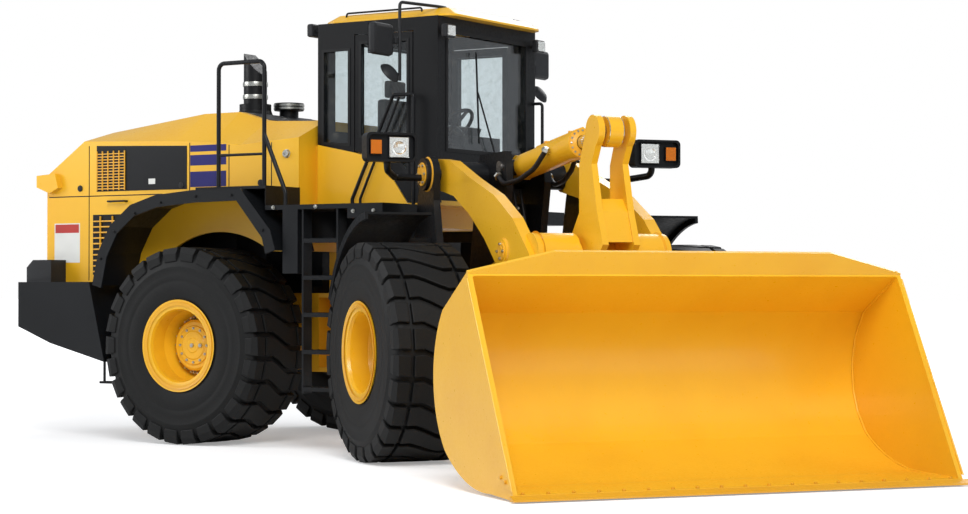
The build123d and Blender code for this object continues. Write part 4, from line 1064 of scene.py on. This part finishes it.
# %% Dash, lever and pedals
screen = push(
    "dash_screen",
    [(0.140, -0.11, 2.705), (0.140, 0.11, 2.705), (0.175, 0.11, 2.800), (0.175, -0.11, 2.800)],
    (0.022, 0, -0.008),
    0.005,
)
shelf = box_piece("dash_top", (0.150, -0.300, 2.700), (0.269, 0.300, 2.712), 0.004)
lever = lathe(
    "lever_and_boot",
    [(0.040, 2.690), (0.034, 2.705), (0.022, 2.718), (0.012, 2.730), (0.010, 2.790),
     (0.018, 2.810), (0.020, 2.850), (0, 2.862)],
    20,
)
lever.data.transform(Matrix.Translation((-0.300, -0.285, 0)))
controls = [screen, shelf, lever]
for y in (-0.16, 0.16):
    left, right = y - 0.04, y + 0.04
    tread = [(0.060, left, 2.165), (0.060, right, 2.165), (0.160, right, 2.265), (0.160, left, 2.265)]
    controls.append(push("pedal", tread, (-0.008, 0, 0.008), 0.003))
for y in (-0.16, 0.16):
    controls.append(box_piece("leg", (0.110, y - 0.01, 2.125), (0.125, y + 0.01, 2.225)))
mounted("cab_controls", controls, "rear_body", PLASTIC)

# %% [markdown]
# ## Decks and ladders
# The walkways are chequer plate. Its lozenges are rolled into the steel and stand 2 mm
# proud, each turned against its neighbour. One lozenge is traced and repeated over the
# decks. The ladder's treads carry raised ribs for the boot.

# %% Chequer plate
LOZENGE_STEP = 0.055
# (x0, x1, y0, y1, height) of each deck, y on the left side
DECKS = ((-0.960, 0.220, 0.850, 1.470, 2.085), (-1.730, -1.010, 1.030, 1.470, 2.257))
for side, hand in SIDES:
    outline = [(-0.019, 0, 0), (0, -0.005, 0), (0.019, 0, 0), (0, 0.005, 0)]
    lozenge = push("lozenge", outline, (0, 0, 0.0025))
    spots = []
    for x0, x1, y0, y1, z in DECKS:
        for i in range(int((x1 - x0) / LOZENGE_STEP)):
            for j in range(int((y1 - y0) / LOZENGE_STEP)):
                x, y = x0 + LOZENGE_STEP * i, hand * (y0 + LOZENGE_STEP * j)
                turn = math.radians(45 if (i + j) % 2 else -45)
                spot = Matrix.Translation((x, y, z - 0.0002))
                spots.append(spot @ Matrix.Rotation(turn, 4, "Z"))
    fitted(repeat("deck_chequer_" + side, lozenge, spots), "rear_body", SLATE)

# %% Ladder ribs
for side, hand in SIDES:
    ribs = []
    for step in range(5):
        top = 0.535 + 0.315 * step
        for i in range(6):
            x = -0.575 + 0.065 * i
            rib = (x, hand * 1.366, top - 0.0005), (x + 0.012, hand * 1.474, top + 0.005)
            ribs.append(box_piece("rib", *rib, 0.001))
    mounted("ladder_ribs_" + side, ribs, "rear_body", SLATE)

# %% Bolts of decks and fenders
DECK_BOLTS = ((-0.900, 2.065), (-0.450, 2.065), (0.150, 2.020), (-0.060, 2.020))
FENDER_BOLTS = (
    (-2.800, 1.640), (-2.640, 1.880), (-2.400, 2.040), (-2.100, 2.130),
    (-1.700, 2.178), (-1.300, 2.178), (-0.960, 1.870),
)


def on_both_sides(spots, reach):
    """Bolt places for side spots (x, z), on faces this far out on both sides."""
    return [((x, hand * reach, z), (0, hand, 0)) for _, hand in SIDES for x, z in spots]


bolts("deck_edge_bolts", "rear_body", 0.024, on_both_sides(DECK_BOLTS, 1.4905))
bolts("fender_bolts", "rear_body", 0.020, on_both_sides(FENDER_BOLTS, 1.5602), BLACK)

# %% Step under the counterweight
step_bars = []
for y in (-0.985, 0.985):
    for x in (-3.280, -3.130):
        hanger = (x, y - 0.006, 0.500), (x + 0.025, y + 0.006, 0.800)
        step_bars.append(box_piece("hanger", *hanger, 0.002))
    tread = (-3.280, y - 0.060, 0.490), (-3.105, y + 0.060, 0.512)
    step_bars.append(box_piece("tread", *tread, 0.004))
mounted("rear_steps", step_bars, "rear_body", BLACK)

# %% [markdown]
# ## Front frame and lifting gear
# What the eye finds on a loader's front end: bolted caps over the pin bosses, the beads of
# weld where bosses and tubes meet the arms, glands at the mouths of the cylinders with their
# ring of screws, hard lines along the barrels, and the pressed hoses that run from the
# valve to the arms. From here on, all is drawn straight ahead and turned when it is fitted.

# %% Headlamp faces
LAMP_FACE, LAMP_Y, LAMP_Z = 1.6035, 1.190, 2.509
cups, backs, panes, ambers = [], [], [], []
for hand in (-1, 1):
    y, z = hand * LAMP_Y, LAMP_Z
    face = oblong((LAMP_FACE, y - hand * 0.146, z - 0.080), (LAMP_FACE, y + hand * 0.016, z + 0.080))
    backs.append(push("back", face, (0.0008, 0, 0)))
    panes.append(push("pane", [(1.606, py, pz) for _, py, pz in face], (0.008, 0, 0), 0.003))
    cup = lathe(
        "cup", [(0.066, 0.002), (0.062, 0.0022), (0.050, 0.004), (0.046, 0.0015), (0, 0.001)], 32
    )
    cup.data.transform(facing((LAMP_FACE, y - hand * 0.065, z), (1, 0, 0)))
    cups.append(cup)
    face = oblong((LAMP_FACE, y + hand * 0.084, z - 0.056), (LAMP_FACE, y + hand * 0.176, z + 0.056))
    ambers.append(push("amber", face, (0.008, 0, 0), 0.003))
mounted("headlamp_mirrors", backs, "front_body", REFLECTOR)
mounted("headlamp_cups", cups, "front_body", REFLECTOR)
mounted("headlamp_lenses", panes, "front_body", LENS_CLEAR)
mounted("indicator_lenses", ambers, "front_body", LENS_AMBER)

# %% Pin caps and their screws
# Pins of the lifting gear: (x, z) in the front frame
BOOM_PIN, BUCKET_PIN, LIFT_TOP = (1.150, 2.320), (3.760, 0.490), (2.550, 1.660)
CAPS = (
    # name, body, side faces |y|, pin, radius, screw circle, screws
    ("boom_pin_cap", "front_body", 0.7552, BOOM_PIN, 0.098, 0.078, 6),
    ("hinge_cap", "boom_body", 0.6192, BUCKET_PIN, 0.078, 0.060, 4),
    ("lift_top_cap", "boom_body", 0.6272, LIFT_TOP, 0.074, 0.056, 4),
)
for name, body, face, (x, z), radius, circle, count in CAPS:
    caps, screws = [], []
    dished = [(0, 0.014), (radius * 0.55, 0.014), (radius * 0.6, 0.010), (radius - 0.004, 0.010),
              (radius, 0.006), (radius, 0)]
    for hand in (-1, 1):
        cap = lathe("cap", dished, 48)
        cap.data.transform(facing((x, hand * face, z), (0, hand, 0)))
        caps.append(cap)
        head_y = hand * (face + 0.010)
        screws += [((x + a, head_y, z + b), (0, hand, 0)) for a, b in around(count, circle)]
    mounted(name + "s", caps, body, YELLOW_DEEP)
    bolts(name + "_screws", body, 0.018, screws)

# %% Weld beads round the bosses


def beads(radius, leg, spots):
    """Fillet welds round bosses: rings whose section is the weld's rounded triangle."""
    outer = radius + leg
    section = [(outer, 0), (radius + leg * 0.62, leg * 0.30), (radius + leg * 0.3, leg * 0.62),
               (radius, leg)]
    made = []
    for at, way in spots:
        bead = lathe("bead", section, 56)
        bead.data.transform(facing(at, way))
        made.append(bead)
    return made


def both_arms(face, pin, outward=1):
    """The same spot on the outside of both arms: (point, way it faces)."""
    x, z = pin
    return [((x, hand * face, z), (0, outward * hand, 0)) for hand in (-1, 1)]


arm_bosses = both_arms(0.6072, BUCKET_PIN) + both_arms(0.6072, LIFT_TOP)
mounted("boom_welds", beads(0.095, 0.011, arm_bosses), "boom_body", YELLOW_DEEP)
tower = both_arms(0.7102, BOOM_PIN)
mounted("tower_welds", beads(0.135, 0.011, tower), "front_body", YELLOW_DEEP)
tube = both_arms(0.5128, (2.950, 1.620), outward=-1)
mounted("cross_tube_welds", beads(0.175, 0.014, tube), "boom_body", YELLOW_DEEP)

# %% Places beside a cylinder
# Each cylinder runs from its base pin to its rod's pin
LIFT = ((1.190, 1.242), LIFT_TOP)
TILT = ((1.500, 2.373), (3.206, 2.560))
LIFT_Y = 0.400


def along(first, last):
    """Unit vector (x, z) from one pin to another."""
    dx, dz = last[0] - first[0], last[1] - first[1]
    reach = math.hypot(dx, dz)
    return dx / reach, dz / reach


def beside(pins, y, reach, lift=0.0):
    """Point this far along a cylinder and this far above its axis."""
    (x, z), (ux, uz) = pins[0], along(*pins)
    return (x + ux * reach - uz * lift, y, z + uz * reach + ux * lift)


# %% Cylinder glands


def gland(name, body, pins, y, mouth, barrel, rod, proud, screws, flats):
    """Screwed ring at the mouth of a cylinder, with the lip seal that wipes the rod."""
    ux, uz = along(*pins)
    outer = barrel + 0.008
    step = [(outer, 0), (outer, 0.3), (rod + 0.030, 0.5), (rod + 0.012, 1), (rod + 0.004, 1),
            (rod + 0.002, 0)]
    ring = lathe(name, [(radius, share * proud) for radius, share in step], 48)
    ring.data.transform(facing(beside(pins, y, mouth), (ux, 0, uz)))
    fitted(ring, body, YELLOW_DEEP)
    heads = []
    for across, rise in around(screws, (barrel + rod + 0.036) / 2):
        # The screws are sunk into the ring's face
        at = beside(pins, y + across, mouth + 0.3 * proud - 0.004, rise)
        heads.append((at, (ux, 0, uz)))
    bolts(name.replace("gland", "gland_screws"), body, flats, heads)


for side, hand in SIDES:
    name, y = "lift_gland_" + side, hand * LIFT_Y
    gland(name, "lift_barrels", LIFT, y, 1.290, 0.095, 0.055, 0.003, 12, 0.012)
gland("tilt_gland", "tilt_barrel", TILT, 0, 1.203, 0.108, 0.056, 0.020, 16, 0.016)

# %% Painted eye of the tilt cylinder's rod
sleeve = lathe(
    "tilt_eye_sleeve",
    [(0.057, -0.0608), (0.112, -0.0608), (0.1185, -0.054), (0.1185, 0.054), (0.112, 0.0608),
     (0.057, 0.0608)],
    56,
)
x, z = TILT[1]
sleeve.data.transform(facing((x, 0, z), (0, 1, 0)))
fitted(sleeve, "tilt_rod", YELLOW)

# %% [markdown]
# The hard lines are cold drawn steel tube, bent and clamped along the barrels. They are drawn
# as a line of points whose corners are rounded, then skinned with the tube's radius. Each
# starts at a forged fitting with its union nut.

# %% Hard lines and their clamps


def union(at, way, radius):
    """Union nut with its collar, for a tube of this radius."""
    wide, slim = radius * 1.9, radius * 1.5
    section = [(0, 0), (slim, 0), (wide, 0.004), (wide, 0.024), (slim, 0.028),
               (radius * 1.25, 0.040), (0, 0.040)]
    nut = lathe("union", section, 6, smooth=0)
    nut.data.transform(facing(at, way))
    return nut


def clamp(at, half):
    """Clamp block that stands on a barrel, this long to each side of its middle."""
    x, y, z = at
    return box_piece("clamp", (x - half, y - 0.022, z), (x + half, y + 0.022, z + 0.046), 0.005)


y, rise = 0.045, 0.134
start, stop = beside(TILT, y, 0.200, rise), beside(TILT, y, 1.150, rise)
line = [beside(TILT, y, 0.200, 0.100), start, stop, beside(TILT, 0.030, 1.150, 0.112)]
mounted("tilt_hard_line", [pipe("line", line, 0.011)], "tilt_barrel", YELLOW)
clamps = [clamp(beside(TILT, y, reach, 0.106), 0.020) for reach in (0.420, 0.900)]
mounted("tilt_line_clamps", clamps, "tilt_barrel", YELLOW_DEEP)
mounted("tilt_line_nuts", [union(start, (0, 0, -1), 0.011)], "tilt_barrel", ZINC)

lines, clamps, nuts = [], [], []
for y in (-LIFT_Y, LIFT_Y):
    start, stop = beside(LIFT, y, 0.170, 0.120), beside(LIFT, y, 1.240, 0.120)
    line = [beside(LIFT, y, 0.170, 0.085), start, stop, beside(LIFT, y, 1.240, 0.100)]
    lines.append(pipe("line", line, 0.010))
    nuts.append(union(start, (0, 0, -1), 0.010))
    clamps += [clamp(beside(LIFT, y, reach, 0.088), 0.018) for reach in (0.450, 0.950)]
mounted("lift_hard_lines", lines, "lift_barrels", YELLOW)
mounted("lift_line_clamps", clamps, "lift_barrels", YELLOW_DEEP)
mounted("lift_line_nuts", nuts, "lift_barrels", ZINC)

# %% Valve fittings and hoses between the tower's plates
HOSE_RADIUS = 0.014
stubs, hoses = [], []
for i, y in enumerate((-0.080, 0, 0.080)):
    for z in (1.500, 1.650):
        stubs.append(union((1.236, y, z), (1, 0, 0), HOSE_RADIUS))
    up = [(1.275, y, 1.650), (1.360, y, 1.650), (1.420, y * 0.8, 1.900),
          (1.300, y * 0.8, 2.240 - 0.02 * i)]
    down = [(1.275, y, 1.500), (1.380, y, 1.500), (1.440, y, 1.330), (1.360, y, 1.150),
            (1.300, y, 1.080)]
    hoses += [pipe("hose", up, HOSE_RADIUS), pipe("hose", down, HOSE_RADIUS)]
for i in range(5):
    stubs.append(union((1.375, 0, 1.860 + 0.045 * i), (1, 0, 0), 0.008))
mounted("valve_unions", stubs, "front_body", ZINC)
mounted("valve_hoses", hoses, "front_body", HOSE)

# %% Bolts of the hinge cap and the fender stays
turns = [0.4 + 1.05 * i for i in range(6)]
spots = [((0.075 * math.cos(t), 0.075 * math.sin(t), 1.5182), (0, 0, 1)) for t in turns]
bolts("hitch_cap_bolts", "front_body", 0.024, spots)
rows = (0.740, 0.800, 0.860)
spots = [((1.030, hand * y, 1.6402), (0, 0, 1)) for hand in (-1, 1) for y in rows]
bolts("fender_stay_bolts", "front_body", 0.018, spots)

# %% Hoses to the tilt cylinder's head
hoses, ends = [], []
for hand in (-1, 1):
    # (x, distance from the middle, z) from the tower to the cylinder's mouth
    route = ((1.520, 0.228, 2.300), (1.640, 0.228, 2.225), (1.900, 0.200, 2.250),
             (2.130, 0.165, 2.330), (2.300, 0.135, 2.475))
    hoses.append(pipe("hose", [(x, hand * y, z) for x, y, z in route], 0.021))
    ends.append(union((2.285, hand * 0.138, 2.455), (0.4, -hand * 0.2, 0.9), 0.020))
    ends.append(union((1.540, hand * 0.228, 2.288), (-0.8, 0, 0.5), 0.020))
mounted("tilt_hoses", hoses, "tilt_barrel", HOSE)
mounted("tilt_hose_ends", ends, "tilt_barrel", ZINC)

# %% [markdown]
# ## Bucket
# The bucket is one welded shell. Each cheek carries a side cutter, and bolts hold the
# cutting edge along its floor. Beads of weld follow the seams where the cheeks, the ears and
# the spill guard meet the shell.

# %% Side cutters
CHEEK = 1.7002  # just off the outside of a cheek
TOE, LIP = (5.349, 0.046), (4.534, 1.486)  # lowest and highest point of a cheek's front edge
up_x, up_z = along(TOE, LIP)
length = math.dist(TOE, LIP)
low_x, low_z = TOE[0] + up_x * 0.03, TOE[1] + up_z * 0.03
high_x, high_z = TOE[0] + up_x * (length - 0.05), TOE[1] + up_z * (length - 0.05)
outline = [
    (low_x, low_z), (high_x, high_z), (high_x - 0.055, high_z - 0.030), (low_x - 0.130, low_z + 0.010)
]
cutters = []
for hand in (-1, 1):
    points = [(x, hand * CHEEK, z) for x, z in outline]
    cutters.append(push("strip", points, (0, hand * 0.010, 0), 0.003))
mounted("side_cutters", cutters, "bucket_body", YELLOW)

# %% Bolts of the cutting edge and the side cutters
spots = [((5.300, -1.620 + 0.180 * i, 0.0462), (0.03, 0, 1)) for i in range(19)]
bolts("edge_bolts", "bucket_body", 0.022, spots, YELLOW_DEEP)
spots = on_both_sides(((5.235, 0.125), (5.160, 0.150)), CHEEK + 0.010)
bolts("cutter_bolts", "bucket_body", 0.022, spots, YELLOW_DEEP)

# %% Seams of the floor and the spill guard
seams = []
for x, z in ((4.905, 0.0545), (5.220, 0.0440)):
    ends = (x - 0.006, -1.660, z - 0.004), (x + 0.006, 1.660, z + 0.0025)
    seams.append(box_piece("seam", *ends, 0.002))
mounted("bucket_seams", seams, "bucket_body", YELLOW_DEEP)
GUARD_SEAM = [(4.5395, -1.67), (4.5395, 1.67), (4.5525, 1.67), (4.5525, -1.67)]
guard = push("guard_weld", [(x, y, 1.4862) for x, y in GUARD_SEAM], (0.004, 0, 0.010), 0.002)
fitted(guard, "bucket_body", YELLOW)

# %% Weld beads inside the cheeks and behind the ears
# Lines (x, z) that follow the shell: all round its inside, and up its back
SHELL_INSIDE = (
    (5.300, 0.0505), (4.932, 0.0560), (4.700, 0.068), (4.500, 0.1124), (4.350, 0.1683),
    (4.200, 0.2465), (4.1234, 0.300), (4.0101, 0.450), (3.9508, 0.600), (3.9316, 0.800),
    (3.9760, 1.000), (4.0926, 1.190), (4.330, 1.333), (4.550, 1.4575),
)
SHELL_BACK = ((4.070, 0.300), (3.996, 0.400), (3.945, 0.500), (3.913, 0.600), (3.898, 0.690))
BEAD = 0.007


def bead_lines(route, reaches):
    """Beads of weld along a route, at each of these distances to either side."""
    return [pipe("bead", [(x, y, z) for x, z in route], BEAD) for y in reaches]


mounted("cheek_welds", bead_lines(SHELL_INSIDE, (-1.6665, 1.6665)), "bucket_body", YELLOW)
# Each ear is a plate 50 mm thick; a bead lies just off both its faces
ears = [hand * y + face for hand in (-1, 1) for y in (0.470, 0.650) for face in (-0.028, 0.028)]
mounted("ear_welds", bead_lines(SHELL_BACK, ears), "bucket_body", YELLOW_DEEP)


# %% [markdown]
# ## Studio
# The machine stands on a pale, seamless floor under soft light. A big soft source high on
# the camera's side gives the shape, a weaker one fills the rear half, a third lights the
# edges from the far side, and a pale world keeps the shadows open. The floor is white to the
# camera and an ordinary pale grey to everything else, so that it doesn't throw too much
# light up under the machine.

# %% What the camera sees


def camera_picks(tree, unseen, seen):
    """Mix two shaders: one for what the camera sees, straight or through glass."""
    ray = add(tree, "ShaderNodeLightPath")
    direct, through = ray.outputs["Is Camera Ray"], ray.outputs["Is Transmission Ray"]
    picked = add(tree, "ShaderNodeMath", {"operation": "MAXIMUM"}, {0: direct, 1: through})
    return add(tree, "ShaderNodeMixShader", None, {0: picked, 1: unseen, 2: seen})


# %% Floor and backdrop
fresh()
bpy.ops.mesh.primitive_plane_add(size=400, location=(0, 0, -0.001))
floor = bpy.context.object
floor.name = "studio_floor"
paper, tree, place = blank_finish("Seamless_paper")
sheet = add(tree, "ShaderNodeBsdfDiffuse", {"Color": to_linear("#F2F2F2")})
# The glow grows from the machine outwards, so that the shadow under it stays
away = add(tree, "ShaderNodeVectorMath", {"operation": "LENGTH"}, {0: place}).outputs["Value"]
growth = {"From Min": 7.0, "From Max": 26.0, "To Min": 0.30, "To Max": 1.0}
fade = add(tree, "ShaderNodeMapRange", growth, {"Value": away})
glow = add(tree, "ShaderNodeEmission", {"Color": (1, 1, 1, 1)}, {"Strength": fade})
lit = add(tree, "ShaderNodeAddShader", None, {0: sheet, 1: glow})
add(tree, "ShaderNodeOutputMaterial", None, {"Surface": camera_picks(tree, sheet, lit)})
wear(floor, paper)

# %% World
world = bpy.data.worlds.new("studio")
bpy.context.scene.world = world
world.use_nodes = True
tree = world.node_tree
tree.nodes.clear()
soft = add(tree, "ShaderNodeBackground", {"Color": to_linear("#E8ECF2"), "Strength": 0.5})
white = add(tree, "ShaderNodeBackground", {"Color": (1, 1, 1, 1), "Strength": 1.0})
add(tree, "ShaderNodeOutputWorld", None, {"Surface": camera_picks(tree, soft, white)})

# %% Lamps
LAMP_SIZE = 9.0
# name, place, point it looks at, watts
LAMPS = (
    ("key", (10.5, -14.5, 13.5), (0.5, -0.5, 1.2), 2870),
    ("fill", (-14.0, -9.0, 8.0), (-1.0, 0.0, 1.5), 1000),
    ("back", (-2.0, 15.0, 11.0), (0.0, 0.0, 1.5), 1200),
)
for name, place, aim, watts in LAMPS:
    light = bpy.data.lights.new(name, "AREA")
    light.shape = "SQUARE"
    light.size = LAMP_SIZE
    light.energy = watts
    holder = bpy.data.objects.new(name, light)
    bpy.context.collection.objects.link(holder)
    holder.location = place
    holder.rotation_euler = (Vector(aim) - Vector(place)).to_track_quat("-Z", "Y").to_euler()

# %% Camera
lens = bpy.data.cameras.new("studio_camera")
camera = bpy.data.objects.new("studio_camera", lens)
bpy.context.collection.objects.link(camera)
camera.location = (10.8465, -16.6365, 1.3699)
camera.rotation_euler = (math.radians(90.815), 0, math.radians(32.395))
lens.sensor_width = 36
lens.lens = 82.95
lens.clip_end = 500
bpy.context.scene.camera = camera
bpy.context.scene.view_settings.view_transform = "Standard"
